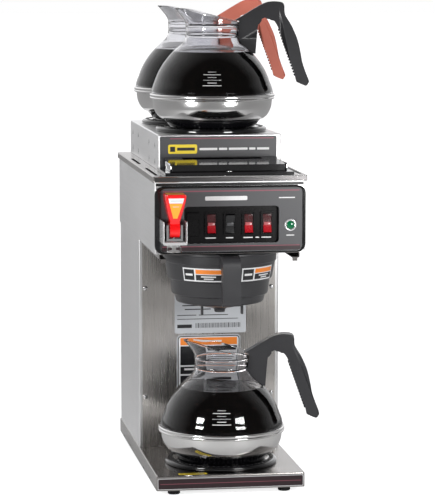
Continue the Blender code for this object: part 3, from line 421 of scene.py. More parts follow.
SOFT_EDGES = {"base_pan": 0.4, "trunk_front_panel": 0.35, "top_lid": 0.3, "upper_warmer_box": 0.35,
              "control_panel": 0.2, "switch_bank": 0.3, "pour_in_tray": 0.6, "blank_plug": 0.3,
              "base_front_trim": 0.2, "upper_front_panel": 0.2, "funnel_rails": 0.25, "front_bezel": 0.3}


def dress_cad_nodes():
    """Give each CAD node its own look, and round the sharp edges of those in view."""
    for part in frame["record"]["subparts"]:
        node = frame["nodes"][part["node"]]
        node.data.materials.clear()
        node.data.materials.append(NODE_LOOKS.get(part["node"], SLOT_LOOKS[part["material_slot"]]))
        if part["node"] in SOFT_EDGES:
            soften(node, SOFT_EDGES[part["node"]], 2)


# ---------------- fasteners
def screw(name, centre, facing, radius=3.6):
    """A pan-head screw with a cross recess; facing is the way its head looks, such as (0, -1, 0)."""
    bm = bmesh.new()
    dome = [(radius * cos(radians(a)), 0.9 + 1.3 * sin(radians(a))) for a in range(0, 90, 15)]
    lathe(bm, [(0, 0), (radius - 0.2, 0), (radius, 0.3)] + dome + [(0, 2.2)], sides=28)
    reach, half = radius * 0.55, radius * 0.13
    for across in ((reach, half), (half, reach)):
        cutter = solid(block, (-across[0], across[0]), (-across[1], across[1]), (1.1, 4.0))
        bm = combined(bm, cutter)
    turn = Vector((0, 0, 1)).rotation_difference(Vector(facing)).to_matrix().to_4x4()
    spin = Matrix.Rotation(radians(sum(centre) * 7 % 90), 4, "Z")
    place = CABINET @ Matrix.Translation(centre) @ turn @ spin
    return make_piece(name, bm, CHROME, place=place, sharp=40.0)


# ---------------- base
def make_base():
    low, high = cad("base_front_trim")
    front = low.y
    middle = (low.z + high.z) / 2
    marks("base_trim_line", [(low.x + 3, high.x - 3, middle - 0.45, middle + 0.45)], front, ROSE_INK)
    outer = rounded_rect(low.x - 1.0, high.x + 1.0, low.z - 1.0, high.z + 1.0, 2.2)
    inner = rounded_rect(low.x + 0.1, high.x - 0.1, low.z + 0.1, high.z - 0.1, 1.4)
    loops = [(outer, -0.3), (outer, -0.9), (inner, -0.9), (inner, -0.3)]
    border = solid(loft, loops, "Y", closed=True)
    make_piece("base_trim_border", border, CHROME)

    top = cad("base_pan")[1].z
    sticker = solid(prism, rounded_rect(-77.0, -34.4, 8.5, 17.5, 1.2), top, top + FILM, "Z")
    make_piece("base_sticker", sticker, YELLOW_VINYL)
    bars = bmesh.new()
    for x0, x1 in ((-74.5, -69.5), (-67.5, -37.5)):
        prism(bars, rounded_rect(x0, x1, 11.2, 14.8, 0.4), top + FILM, top + FILM + INK, "Z")
    make_piece("base_sticker_bars", bars, BLACK_INK)

    half = cad("base_pan")[1].x
    for side, name in ((-1, "left"), (1, "right")):
        for k, y in enumerate((80.5, 154.3, 330.0, 405.0)):
            rivet = solid(lathe, [(0, 0), (1.9, 0), (1.7, 0.35), (1.0, 0.6), (0, 0.7)], sides=20)
            spot = CABINET @ Matrix.Translation((side * (half - 0.25), y, 3.6))
            place = spot @ Matrix.Rotation(radians(90 * side), 4, "Y")
            make_piece(f"base_rivet_{name}_{k + 1}", rivet, BLACK_PLASTIC, place=place)


# ---------------- warmers
WARMER_PLACES = ("lower", "upper_front", "upper_rear")
RING_TOP = ((5.6, 0.6), (6.4, 2.0), (10.4, 2.2), (11.2, 0.5), (12.0, 0.1), (20.6, 0.1))
RIB_COUNT = 64


def make_warmers():
    for place in WARMER_PLACES:
        low, high = cad("warmer_ring_" + place)
        x, y, top, floor = (low.x + high.x) / 2, (low.y + high.y) / 2, high.z, low.z
        radius = (high.x - low.x) / 2 - 0.05
        profile = smooth([(radius - 1.0, floor), (radius, floor + 1.0), (radius, floor + 4.0),
                          (radius - 1.0, top - 1.4), (radius - 2.8, top - 0.4), (radius - 4.6, top)], 3)
        profile += [(radius - inset, top - drop) for inset, drop in RING_TOP] + [(radius - 20.6, floor)]
        ring = solid(lathe, profile, (x, y, 0), closed=True)
        make_piece("warmer_drip_ring_" + place, ring, ENAMEL,
                   replaces=["warmer_ring_" + place])

        ribs = bmesh.new()
        for k in range(RIB_COUNT):
            angle = 2 * pi * k / RIB_COUNT
            rib = solid(block, (radius - 10.8, radius - 5.8), (-1.5, 1.5), (top - 2.6, top + 0.3), 0.6, 1)
            rib.transform(Matrix.Translation((x, y, 0)) @ Matrix.Rotation(angle, 4, "Z"))
            helper = as_mesh(rib, "rib")
            ribs.from_mesh(helper)
            bpy.data.meshes.remove(helper)
        # The ribs' lighter enamel is painted highlight.
        make_piece("warmer_ring_ribs_" + place, ribs, RIB_ENAMEL_PAINTED_HIGHLIGHT)

        low, high = cad("warmer_plate_" + place)
        reach, top, floor = (high.x - low.x) / 2, high.z, low.z
        profile = [(0, top - 3.0), (reach - 5, top - 3.0), (reach - 5, floor), (reach, floor),
                   (reach, top - 1.4), (reach - 0.4, top - 0.4), (reach - 1.4, top)]
        for r in range(54, 12, -7):
            profile += [(r + 0.8, top), (r, top - 0.35), (r - 0.8, top)]
        plate = solid(lathe, profile + [(0, top)], (x, y, 0))
        make_piece("warmer_hot_plate_" + place, plate, ENAMEL,
                   replaces=["warmer_plate_" + place])


# ---------------- trunk
def make_trunk():
    front = cad("trunk_front_panel")[0].y
    for k, (x, z) in enumerate(((-99.8, 272.4), (98.4, 271.6), (-100.0, 101.7), (98.6, 103.6))):
        screw(f"trunk_screw_{k + 1}", (x, front, z), (0, -1, 0))

    marks("data_label", [(-54.0, 58.5, 200.0, 262.0)], front, SILVER_VINYL, FILM, 3.0)
    lines = [(-50.0 + 4 * k, -12.0 + 5 * k, 255.0 - 6 * k, 256.6 - 6 * k) for k in range(4)]
    lines += [(-50.0, -20.0, 228.0, 229.2), (-16.0, 30.0, 228.0, 229.2), (-50.0, 46.0, 222.0, 223.0)]
    lines += [(-50.0, -27.0, 208.5, 214.0)]
    bar_widths = (0.9, 0.5, 1.3, 0.6, 0.6, 1.1, 0.8, 0.5, 1.4, 0.7, 0.5, 1.0, 0.6, 1.2, 0.8, 0.5, 1.1, 0.9)
    x = -21.0
    for width in bar_widths * 2:
        lines.append((x, x + width, 208.5, 216.0))
        x += width + 1.15
    marks("data_label_bars", lines, front - FILM, BLACK_INK, INK, 0.15)

    marks("trunk_label_border", [(-50.5, 49.8, 107.0, 197.5)], front, SILVER_VINYL, FILM, 6.0)
    marks("trunk_label_frame", [(-49.0, 48.3, 108.5, 196.0)], front - FILM, BLACK_INK, INK, 5.0)
    marks("trunk_label_ground", [(-47.6, 46.9, 109.9, 194.6)], front - FILM - INK, WHITE_VINYL, INK, 4.0)
    layer = front - FILM - 2 * INK
    marks("trunk_label_header", [(-45.0, 44.3, 181.5, 193.0)], layer, ORANGE_VINYL, INK, 1.0)
    blocks = [(-45.0, -8.0, low, high) for low, high in ((150.0, 179.8), (136.0, 147.5), (112.5, 133.5))]
    marks("trunk_label_blocks", blocks + [(-5.0, 44.3, 172.5, 179.8)], layer, BLACK_INK, INK, 1.0)
    marks("trunk_label_lines", [(-5.0, 42.0 - 3 * (k % 3), 165.0 - 7 * k, 167.4 - 7 * k) for k in range(8)],
          layer, BLACK_INK, INK, 0.4)
    marks("trunk_label_bars", [(-39.0, -14.0, 142.0, 145.0), (-24.0, 20.0, 186.0, 188.6)], layer - INK,
          WHITE_INK, INK, 0.4)

    back = cad("trunk_housing")[1].y
    for k, (x, z) in enumerate([(x, z) for z in (330.0, 185.0, 42.0) for x in (-96.0, 96.0)]):
        screw(f"trunk_back_screw_{k + 1}", (x, back - 0.3, z), (0, 1, 0), radius=3.2)
    outside = back - 0.1 + FILM
    marks("rating_label", [(-38.0, 38.0, 232.0, 284.0)], outside, SILVER_VINYL, FILM, 2.0)
    lines = [(-33.0, 30.0 - 9 * (k % 3), 240.0 + 7 * k, 242.0 + 7 * k) for k in range(6)]
    marks("rating_label_bars", lines, outside + INK, BLACK_INK)


# ---------------- front of the head
RECESS_FLOOR = 18.0          # y of the floor that the switches stand on
ROCKER_PIVOT_YZ = (19.0, 393.2)
ROCKER_TILT = 8.0            # degrees either way from upright
ROCKER_HALF_WIDTH = 6.4


def make_front():
    low, high = cad("control_panel")
    face = low.y
    marks("panel_line_top", [(low.x + 5, high.x - 5, 441.6, 443.4)], face, ROSE_INK)
    marks("panel_band", [(low.x + 3.5, high.x - 3.5, 354.6, 362.2)], face, MAROON_FILM)
    marks("panel_band_line", [(low.x + 4, high.x - 4, 360.6, 361.8)], face - INK, ROSE_INK)
    marks("panel_bar", [(-37.5, 25.0, 428.6, 434.8)], face, WHITE_INK, corner=1.6)
    marks("panel_short_bar", [(72.0, 96.0, 430.8, 432.4)], face, WHITE_INK)

    dashes = ((-36.0, -20.5), (-5.5, 5.5), (20.5, 34.5), (38.5, 44.0), (47.5, 62.0))
    marks("switch_bars", [(x0, x1, 371.8, 373.4) for x0, x1 in dashes], RECESS_FLOOR, WHITE_INK)
    marks("light_bar", [(83.4, 95.2, 375.2, 376.6)], face, WHITE_INK)

    low, high = cad("ready_light")
    x, z = (low.x + high.x) / 2, (low.z + high.z) / 2
    bulge = smooth([(6.4, 8.6), (7.4, 8.0), (8.6, 8.5), (9.15, 9.6)], 3)
    ring = solid(lathe, [(6.0, 10.6), (6.2, 9.2)] + bulge + [(9.15, 10.7)], (x, 0, z), "Y", 48, closed=True)
    make_piece("ready_light_ring", ring, PLATE_PAINTED_REFLECTION)
    bulge = smooth([(1.5, 7.7), (3.4, 8.0), (5.0, 8.8), (5.95, 10.0)], 3)
    lens = solid(lathe, [(0, 7.65)] + bulge + [(5.95, 31.0), (0, 31.0)], (x, 0, z), "Y", 48)
    make_piece("ready_light_lens", lens, GREEN_LENS, replaces=["ready_light"])

    for name in ("lower_warmer", "start", "front_warmer", "rear_warmer"):
        make_rocker(name)


def make_rocker(name):
    """A rocker cap with a shallow hollow front, and the window across its middle; all but start have a lamp,
    and on those the cap is painted shade dark red and its lower half painted light brighter red.
    """
    lit_up, body = name != "start", name + "_rocker"
    low, high = cad(body)
    pivot = Matrix.Translation(((low.x + high.x) / 2, *ROCKER_PIVOT_YZ))
    tilt = radians(-ROCKER_TILT if lit_up else ROCKER_TILT)
    place = CABINET @ pivot @ Matrix.Rotation(tilt, 4, "X")
    front = smooth([(-3.4, -13.5), (-2.3, -7.0), (-1.7, 0.0), (-2.3, 7.0), (-3.4, 13.5)], 4)
    cap = solid(prism, front + [(1.6, 13.8), (4.0, 3.0), (4.0, -3.0), (1.6, -13.8)], -ROCKER_HALF_WIDTH,
                ROCKER_HALF_WIDTH, "X", 0.45, 3)
    make_piece(body + "_cap", cap, RED_LENS_PAINTED_SHADE if lit_up else BLACK_PLASTIC, body, [body], place, 40.0)
    if lit_up:
        # Painted light: a brighter red shell over the lower half of the hollow front, where it faces up to
        # the light.
        lower = [(y - 0.12, z) for y, z in front if z < -2.5] + [(-1.95, -2.5)]
        painted_light_shell = solid(prism, lower + [(y + 0.6, z) for y, z in reversed(lower)], -5.9, 5.9, "X")
        make_piece(body + "_painted_light_half", painted_light_shell, RED_PAINTED_LIGHT, body, place=place)
    # The window bar across the middle is partly painted highlight along the crease.
    window = solid(block, (-4.9, 4.9), (-2.1, -1.0), (-2.6, 1.8), 0.3, 2)
    make_piece(body + "_window_painted_highlight", window, PINK_WINDOW_PAINTED_HIGHLIGHT if lit_up else GREY_WINDOW_PAINTED_HIGHLIGHT, body, place=place)


# ---------------- faucet
FAUCET_X, FAUCET_Y, LEVER_PIVOT_Z = -87.3, -17.0, 390.0
SHANK_Z = 385.0              # middle of the pipe that holds the faucet


def make_faucet():
    x, y = FAUCET_X, FAUCET_Y
    body = solid(block, (x - 12.0, x + 12.0), (y - 8.0, 1.5), (373.3, 397.0))
    cutter = solid(block, (x - 9.0, x + 9.0), (y - 15.0, y + 13.0), (377.3, 405.0))
    body = combined(body, cutter)
    shank = solid(lathe, [(0, 0.0), (6.2, 0.0), (6.2, 40.0), (0, 40.0)], (x, 0, SHANK_Z), "Y", 40)
    body = combined(body, shank, "UNION")
    collar = solid(lathe, [(0, 3.0), (8.6, 3.0), (9.2, 3.8), (9.2, 7.6), (8.4, 8.2), (0, 8.2)],
                   (x, 0, SHANK_Z), "Y", 40)
    body = combined(body, collar, "UNION")
    made = make_piece("faucet_yoke", body, CHROME, replaces=["faucet_body"])
    soften(made, 0.8, 3)

    walls = [(-17.6, 402.5), (-17.6, 370.0), (-16.2, 368.6), (16.2, 368.6), (17.6, 370.0), (17.6, 402.5),
             (16.0, 402.5), (16.0, 373.0), (-16.0, 373.0), (-16.0, 402.5)]
    shroud = solid(prism, [(x + u, z) for u, z in walls], -33.0, 10.5, "Y")
    hole = solid(lathe, [(0, 360.0), (7.3, 360.0), (7.3, 380.0), (0, 380.0)], (x, y, 0), sides=40)
    made = make_piece("faucet_cheeks", combined(shroud, hole), PLATE_PAINTED_REFLECTION,
                      replaces=["faucet_shroud"])
    soften(made, 0.5, 2)

    nozzle = solid(lathe, [(2.4, 373.0), (6.8, 373.0), (6.8, 368.2), (10.4, 367.9), (11.0, 367.2),
                           (11.0, 365.8), (10.6, 365.2), (10.6, 358.8), (11.0, 358.2), (11.0, 357.4),
                           (10.6, 357.0), (8.6, 357.0), (8.6, 365.5), (2.4, 365.5)], (x, y, 0), sides=48,
                   closed=True)
    for angle in (36, 126):
        slot_cutter = solid(block, (-15.0, 15.0), (-5.2, 5.2), (359.0, 364.9), 0.8, 2)
        slot_cutter.transform(Matrix.Translation((x, y, 0)) @ Matrix.Rotation(radians(angle), 4, "Z"))
        nozzle = combined(nozzle, slot_cutter)
    make_piece("faucet_spout_cup", nozzle, SPUN_STEEL, replaces=["faucet_nozzle"])

    pin = solid(lathe, [(0, x - 12.4), (1.4, x - 12.4), (1.5, x - 12.0), (1.5, x + 12.0), (1.4, x + 12.4),
                        (0, x + 12.4)], (0, y, LEVER_PIVOT_Z), "X", 24)
    make_piece("faucet_hinge_pin", pin, CHROME, replaces=["faucet_pivot_pin"])
    make_lever()


def make_lever():
    """The red lever: a round hub between the yoke's ears and a paddle that widens upwards."""
    place = CABINET @ Matrix.Translation((FAUCET_X, FAUCET_Y, LEVER_PIVOT_Z))
    arc = [*range(40, -66, -6), *range(-114, -226, -6)]
    hub = [(12.0 * cos(radians(angle)), 12.0 * sin(radians(angle))) for angle in arc]
    lever = solid(prism, hub + [(-12.2, 12.0), (9.5, 12.0)], -7.3, 7.3, "X", 1.2, 3)
    levels = ((9.0, 6.8, -10.5, 8.6), (14.0, 7.6, -13.0, 9.3), (24.0, 10.4, -16.6, 9.8),
              (34.0, 12.6, -20.0, 10.1), (44.0, 14.6, -23.4, 10.2), (50.6, 15.0, -25.7, 10.2),
              (52.2, 14.6, -25.6, 9.8), (52.9, 13.6, -25.0, 9.0))
    paddle = solid(loft, [(rounded_rect(-half, half, front, back, min(2.4, half * 0.25)), height)
                          for height, half, front, back in levels])
    lever = combined(lever, paddle, "UNION")
    bore = solid(lathe, [(0, -20), (1.8, -20), (1.8, 20), (0, 20)], axis="X", sides=24)
    lever = combined(lever, bore)
    made = make_piece("faucet_handle", lever, RED_PLASTIC, "faucet_lever", ["faucet_lever"],
                      place, 35.0)
    soften(made, 0.4, 2)

    def on_front(height, rise):
        """The y of the paddle's front at a height, less rise."""
        return float(np.interp(height, [level[0] for level in levels], [level[2] for level in levels])) - rise

    for name, look, (low, high), (narrow, wide) in (("header", WHITE_VINYL, (40.0, 47.6), (9.7, 11.4)),
                                                    ("label", AMBER_VINYL, (17.5, 39.4), (3.0, 9.6))):
        loops = []
        for step in range(7):
            height = low + (high - low) * step / 6
            half = narrow + (wide - narrow) * step / 6
            front = on_front(height, FILM)
            loops.append((((-half, front), (half, front), (half, front + 0.3), (-half, front + 0.3)), height))
        make_piece("faucet_handle_" + name, solid(loft, loops), look, body="faucet_lever", place=place)
    cap = solid(prism, rounded_rect(-13.0, 13.0, -24.4, 8.4, 2.0), 52.8, 52.95, "Z")
    make_piece("faucet_handle_top_label", cap, AMBER_VINYL, body="faucet_lever", place=place)
    bars = bmesh.new()
    for low, high, half in ((43.2, 44.6, 8.0), (34.5, 35.7, 4.5)):
        front = on_front((low + high) / 2, FILM + INK)
        block(bars, (-half, half), (front - 0.05, front + 0.25), (low, high))
    make_piece("faucet_handle_bars", bars, SILVER_VINYL, body="faucet_lever", place=place)


# ---------------- funnel
FUNNEL_Y = 112.0
LABEL_FOOT, LABEL_TALL = 304.6, 20.2
LABEL_LAYERS = (                      # rectangles in shares of the label's width and height
    ("frame", WHITE_VINYL, 0, [(0, 1, 0, 1)]),
    ("block", BLACK_INK, 1, [(0.03, 0.31, 0.1, 0.9), (0.35, 0.97, 0.1, 0.52)]),
    ("header", ORANGE_VINYL, 1, [(0.35, 0.97, 0.58, 0.9)]),
    ("bars", WHITE_INK, 2, [(0.07, 0.27, 0.42, 0.58), (0.48, 0.84, 0.33, 0.43), (0.55, 0.78, 0.18, 0.26)]))
FUNNEL_OUTER = [(84.0, 346.2), (87.2, 346.2), (87.9, 345.6), (87.9, 343.2), (87.2, 342.4), (86.2, 341.6),
                (85.9, 340.6), (85.6, 331.4), (85.2, 330.0), (83.8, 328.9), (83.3, 327.6), (79.3, 305.4),
                (78.9, 304.0), (77.9, 302.8), (76.2, 302.0), (75.3, 300.6), (72.9, 281.4), (72.4, 280.0),
                (71.4, 279.2), (69.2, 278.5), (68.3, 277.2), (66.5, 269.8), (66.1, 268.2), (65.0, 267.0),
                (63.2, 266.4), (14.0, 256.4), (9.6, 254.8), (8.3, 252.6), (8.0, 250.0), (7.4, 249.4)]
FUNNEL_INNER = [(5.0, 249.4), (5.2, 256.2), (6.6, 258.8), (61.6, 269.0), (64.0, 270.6), (66.0, 280.2),
                (70.3, 281.9), (73.1, 303.6), (76.8, 305.6), (81.0, 329.6), (83.4, 346.0)]


def funnel_radius(height):
    """Radius of the outside of the funnel at a height."""
    upwards = FUNNEL_OUTER[::-1]
    return float(np.interp(height, [z for _, z in upwards], [r for r, _ in upwards]))


def make_funnel():
    place = CABINET @ Matrix.Translation((0, FUNNEL_Y, 0))
    bowl = solid(lathe, FUNNEL_OUTER + FUNNEL_INNER, closed=True)
    for side in (-1, 1):
        ear = solid(block, tuple(sorted((side * 84.8, side * 101.5))), (-44, 44), (343.0, 346.2), 0.8, 2)
        bowl = combined(bowl, ear, "UNION")
    for angle in (217.0, 323.0, 90.0):
        x, y = 38.0 * cos(radians(angle)), 38.0 * sin(radians(angle))
        leg = solid(block, (x - 1.6, x + 1.6), (y - 4.5, y + 4.5), (248.6, 263.0), 0.6, 2)
        bowl = combined(bowl, leg, "UNION")
    make_piece("funnel_basket", bowl, CHARCOAL, "funnel", ["funnel_bowl"], place, 28.0)

    side = smooth([(-106.0, 346.3), (-112.6, 343.8), (-116.8, 337.5), (-117.9, 328.0)], 4)[:-1]
    side += [(-117.9, 322.0), (-117.9, 290.0)]
    side += smooth([(-117.9, 280.0), (-116.8, 274.6), (-113.5, 273.1), (-108.5, 273.1), (-105.0, 275.0),
                    (-104.1, 280.0)], 4)
    side += [(-103.6, 300.0)] + smooth([(-103.0, 316.0), (-100.4, 323.4), (-95.0, 327.4), (-88.0, 328.1)], 4)
    side += [(-80.0, 328.1), (-80.0, 346.3), (-92.0, 346.3)]
    grip = solid(prism, side, -13.5, 13.5, "X", 3.0, 4)
    hollow = solid(lathe, [(0, 318.0), (88.3, 318.0), (88.3, 360.0), (0, 360.0)])
    make_piece("funnel_grip", combined(grip, hollow), CHARCOAL, "funnel",
               ["funnel_handle"], place, 38.0)

    for name, start, end in (("left", 219.4, 264.5), ("right", 285.0, 331.5)):
        wide = end - start
        for layer, look, level, rects in LABEL_LAYERS:
            patch = bmesh.new()
            for u0, u1, v0, v1 in rects:
                heights = (LABEL_FOOT + LABEL_TALL * v0, LABEL_FOOT + LABEL_TALL * v1)
                curved_patch(patch, (start + wide * u0, start + wide * u1), heights, funnel_radius,
                             FILM + INK * level, INK if level else FILM + 0.2)
            make_piece(f"funnel_label_{name}_{layer}", patch, look, body="funnel", place=place)

    rose = solid(lathe, [(0, 347.2), (16.6, 347.2), (17.6, 347.7), (18.0, 348.4), (17.6, 349.3), (6.5, 350.1),
                         (6.5, 360.0), (0, 360.0)], (0, FUNNEL_Y, 0), sides=64)
    make_piece("spray_rose", rose, CHROME, replaces=["spray_head"])


# ---------------- top
def make_top():
    low, high = cad("upper_front_panel")
    face = low.y
    marks("upper_panel_line", [(-75.5, 82.0, 511.4, 513.2)], face, ROSE_INK)
    marks("upper_panel_sticker", [(-78.5, -34.6, 489.6, 503.4)], face, YELLOW_VINYL, FILM, 2.4)
    marks("upper_panel_sticker_bars", [(-75.5, -68.0, 492.6, 500.2), (-65.0, -38.0, 494.2, 498.8)],
          face - FILM, BLACK_INK, INK, 0.8)
    dashes = ((-31.0, -4.0), (-1.5, 11.0), (13.5, 42.0), (44.5, 54.0), (56.5, 75.0))
    marks("upper_panel_bars", [(x0, x1, 494.6, 498.0) for x0, x1 in dashes], face, WHITE_INK, corner=0.8)

    low, high = cad("top_lid")
    beads = bmesh.new()
    for height in (high.z - 0.9, low.z + 0.9):
        lathe(beads, [(0, low.x + 2.0), (0.9, low.x + 2.3), (0.9, high.x - 2.3), (0, high.x - 2.0)],
              (0, low.y + 0.35, height), "X", 16)
    make_piece("lid_front_beads", beads, SPUN_STEEL)
    # Painted shade: a dark steel band over the lid's front face between the beads.
    marks("lid_front_painted_shade_band", [(low.x + 1.6, high.x - 1.6, low.z + 1.7, high.z - 1.7)], low.y, SHADED_STEEL,
          0.15, 0.4)
    front, top = cad("head_housing")[0], cad("front_bezel")[1].z
    # Painted shadow: a black strip in the gap between the lid and the bezel, where shade falls.
    marks("head_painted_shadow_strip", [(low.x + 4.5, high.x - 4.5, top + 0.1, low.z - 1.5)], front.y, BLACK_PLASTIC, 0.3,
          0.4)

    wall = cad("upper_warmer_box")[1].x
    # Painted shade: black patches on the box walls under the lance hoods stand in for the shaded mouths of
    # the lances.
    lance_shade_patches, hoods = bmesh.new(), bmesh.new()
    for side in (-1, 1):
        for y in (150.0, 219.5, 353.0, 424.0):
            for z in (476.0, 500.5):
                face = sorted((side * (wall - 0.2), side * (wall + 0.06)))
                prism(lance_shade_patches, [(y - 3.0, z - 3.0), (y + 3.0, z - 3.0), (y + 0.2, z + 4.0), (y - 0.2, z + 4.0)],
                      *face, "X")
                rings = []
                for step in range(5):
                    half, rise, height = 3.0 - 0.7 * step, 1.5 * (1 - step / 5) ** 0.6, z - 3.6 - 0.5 * step
                    arc = [pi * t / 8 for t in range(9)]
                    rings.append([hoods.verts.new((side * (wall - 0.2 + rise * sin(a)),
                                                   y + half * cos(a), height)) for a in arc])
                skin(hoods, rings)
                hoods.faces.new(rings[0])
                hoods.faces.new(rings[-1])
    make_piece("box_lance_painted_shade", lance_shade_patches, BLACK_INK)
    make_piece("box_lance_hoods", hoods, SIDE_STEEL_PAINTED_LIGHT)

    screw("tray_screw", (0.0, 20.0, cad("pour_in_tray")[0].z + 4.2), (0, 0, 1), radius=4.0)
    for side, name in ((-1, "left"), (1, "right")):
        x = tuple(sorted((side * 85.6, side * 87.2)))
        bracket = solid(block, x, (27.0, 106.0), (cad("pour_in_tray")[0].z + 4.3, 481.6), 0.4, 2)
        make_piece("tray_upstand_" + name, bracket, CHROME)


# ---------------- decanters
NECK, NECK_TOP = 40.6, 151.4          # the neck's radius, and where the mouth starts to flare
DOME = [(93.0, 47.3), (91.6, 55.5), (88.4, 64.0), (82.0, 80.0), (72.0, 96.0), (57.5, 112.5), (45.5, 123.0),
        (NECK, 132.0), (NECK, NECK_TOP)]
WALL = 2.0
COFFEE_GAP, COFFEE_SOAK = 0.4, 0.5    # coffee short of the steel, and into the clear wall that it wets
RIM_MEAN, RIM_RISE = 165.5, 10.7      # mouth height, and how far it rises towards the spout
UNDERSIDE = -2.8                      # the decanter's flat base
DECANTERS = {"lower": (CHARCOAL, "charcoal_plastic", 106.0),       # grip's look and slot, coffee's level
             "upper_front": (CHARCOAL, "charcoal_plastic", 110.0),
             "upper_rear": (ORANGE_PLASTIC, "orange_plastic", 107.0)}
DECANTER_TURN = -8.9                  # degrees that the handles swing to the front
GRIP = [(34.0, 157.6), (46.0, 164.6), (60.0, 173.2), (78.0, 183.4), (90.6, 186.4), (104.0, 185.6),
        (108.2, 183.4), (109.6, 179.2), (109.7, 173.4), (110.7, 167.0), (114.2, 160.6), (118.6, 153.8),
        (122.2, 147.0), (128.7, 132.2), (132.2, 120.0), (134.6, 109.0), (137.2, 95.0), (141.8, 81.0),
        (147.4, 66.6), (147.2, 63.6), (144.2, 59.2), (141.6, 58.8), (130.0, 63.8), (128.0, 66.4),
        (125.3, 78.0), (118.9, 95.6), (111.8, 112.6), (106.2, 129.4), (100.8, 146.2), (93.8, 157.2),
        (85.4, 162.2), (77.6, 160.9), (71.8, 156.4), (69.4, 148.6), (68.6, 140.0), (67.2, 123.0),
        (66.0, 107.0)]
GRIP_RIBS = 16


def mouth_ring(bm, share, inset):
    """A ring of the flared mouth, share of the way from the neck to the rim, with a pointed spout at -X."""
    ring = []
    for k in range(ROUND):
        angle = 2 * pi * k / ROUND
        from_spout = abs(pi - angle)
        rim_radius = 41.5 + 16.5 * exp(-(from_spout / 0.42) ** 2)
        radius = NECK + (rim_radius - NECK) * share ** 1.4 - inset
        height = NECK_TOP + (RIM_MEAN - RIM_RISE * cos(angle) - NECK_TOP) * share
        ring.append(bm.verts.new((radius * cos(angle), radius * sin(angle), height)))
    return ring


def plain_ring(bm, radius, height):
    """A round ring of the same number of points as a mouth ring."""
    angles = [2 * pi * k / ROUND for k in range(ROUND)]
    return [bm.verts.new((radius * cos(angle), radius * sin(angle), height)) for angle in angles]


def dome_radius(height):
    """Radius of the outside of the dome at a height."""
    return float(np.interp(height, [z for _, z in DOME], [r for r, _ in DOME]))


def make_decanter(name):
    grip_look, grip_slot, level = DECANTERS[name]
    body = name + "_decanter"
    low, high = cad(body + "_bowl")
    centre = ((low.x + high.x) / 2, (low.y + high.y) / 2, low.z - UNDERSIDE)
    place = CABINET @ Matrix.Translation(centre) @ Matrix.Rotation(radians(DECANTER_TURN), 4, "Z")

    outer = [(0, -1.9), (65.4, -1.9), (73.2, 8.2), (74.6, 8.0)]
    outer += smooth([(76.0, 8.3), (79.6, 9.9), (85.6, 16.0), (90.2, 26.4), (91.7, 38.0)], 6)
    band = smooth([(93.6, 38.5), (95.3, 39.4), (95.5, 41.0), (94.7, 42.2)], 3)
    band += smooth([(94.8, 42.6), (95.5, 43.6), (95.5, 45.6), (94.2, 46.9), (92.6, 47.0)], 3)
    inner = [(90.6, 46.6), (88.8, 27.0), (84.4, 17.2), (78.7, 11.4), (73.0, 9.4), (65.0, -1.2), (0, -1.2)]
    bowl = solid(lathe, outer + band + inner)
    make_piece(body + "_steel_bowl", bowl, SPUN_STEEL, body, [body + "_bowl"], place)
    base = solid(lathe, [(0, -2.6), (40.0, -2.6), (43.0, UNDERSIDE), (64.4, UNDERSIDE), (65.8, -2.4),
                         (66.7, -1.4), (73.4, 7.2), (74.0, 7.9), (73.4, 8.0), (65.5, -2.1), (0, -2.1)])
    make_piece(body + "_base_coating", base, ENAMEL, body, place=place)

    profile = smooth(DOME[:-1], 5)
    beads = [(41.3, 133.4), (41.6, 134.4), (41.0, 135.4), (40.6, 137.0), (40.6, 147.4), (41.0, 148.6),
             (41.5, 149.4), (41.1, 150.6)]
    shares = [0.0, 0.12, 0.25, 0.4, 0.55, 0.7, 0.82, 0.92]
    top = bmesh.new()
    rings = [plain_ring(top, radius, z) for radius, z in profile + beads]
    rings += [mouth_ring(top, share, 0.0) for share in shares]
    lip = ((0.975, -0.25), (0.995, 0.3), (1.0, 1.0), (0.99, 1.7))
    rings += [mouth_ring(top, share, inset) for share, inset in lip]
    rings += [mouth_ring(top, share, WALL) for share in reversed(shares)]
    rings += [plain_ring(top, radius - WALL, z) for radius, z in [(NECK, 144.0), (NECK, 138.0)]
              + profile[::-1]]
    skin(top, rings, True)
    make_piece(body + "_clear_top", top, CLEAR_PLASTIC, body, [body + "_top"], place)

    inside = [(r - COFFEE_GAP, z + COFFEE_GAP) for r, z in reversed(inner[1:-1])]
    wall = [(r - WALL + COFFEE_SOAK, z) for r, z in profile if 48.5 < z < level - 2]
    edge = dome_radius(level) - WALL + COFFEE_SOAK
    coffee = solid(lathe, [(0, inner[-1][1] + COFFEE_GAP)] + inside + [(90.0, 46.0)] + wall
                   + [(edge + 1.2, level - 0.6), (edge - 0.2, level + 0.2), (edge - 1.8, level - 0.5),
                      (edge - 4.0, level - 0.8), (0, level - 0.8)])
    make_piece(body + "_coffee", coffee, COFFEE, body=body, place=place)

    handle = solid(prism, smooth(GRIP, 3) + [(40.0, 112.0), (40.0, 157.2)], -11.5, 11.5, "Y", 2.2, 3)
    fitted = [(r + 0.4, z) for r, z in profile if z > 60]
    saddle = solid(lathe, [(0, 60.0)] + fitted + [(42.4, 152.0), (42.4, 157.0), (0, 157.0)])
    handle = combined(handle, saddle)
    flatten(make_piece(body + "_grip", handle, grip_look, body, [body + "_handle"], place, 42.0))

    ribs = bmesh.new()
    start, end = Vector((125.6, 75.0)), Vector((101.4, 143.2))
    turns = np.linspace(0, 2 * pi, 9)[:-1]
    for k in range(GRIP_RIBS):
        spot = start.lerp(end, k / (GRIP_RIBS - 1))
        rib = [(spot.x + 1.5 * cos(a), spot.y + 1.5 * sin(a)) for a in turns]
        prism(ribs, rib, -7.2, 7.2, "Y", 0.4, 2)
    make_piece(body + "_grip_ribs", ribs, grip_look, body, place=place)

    make_level_marks(body, place)


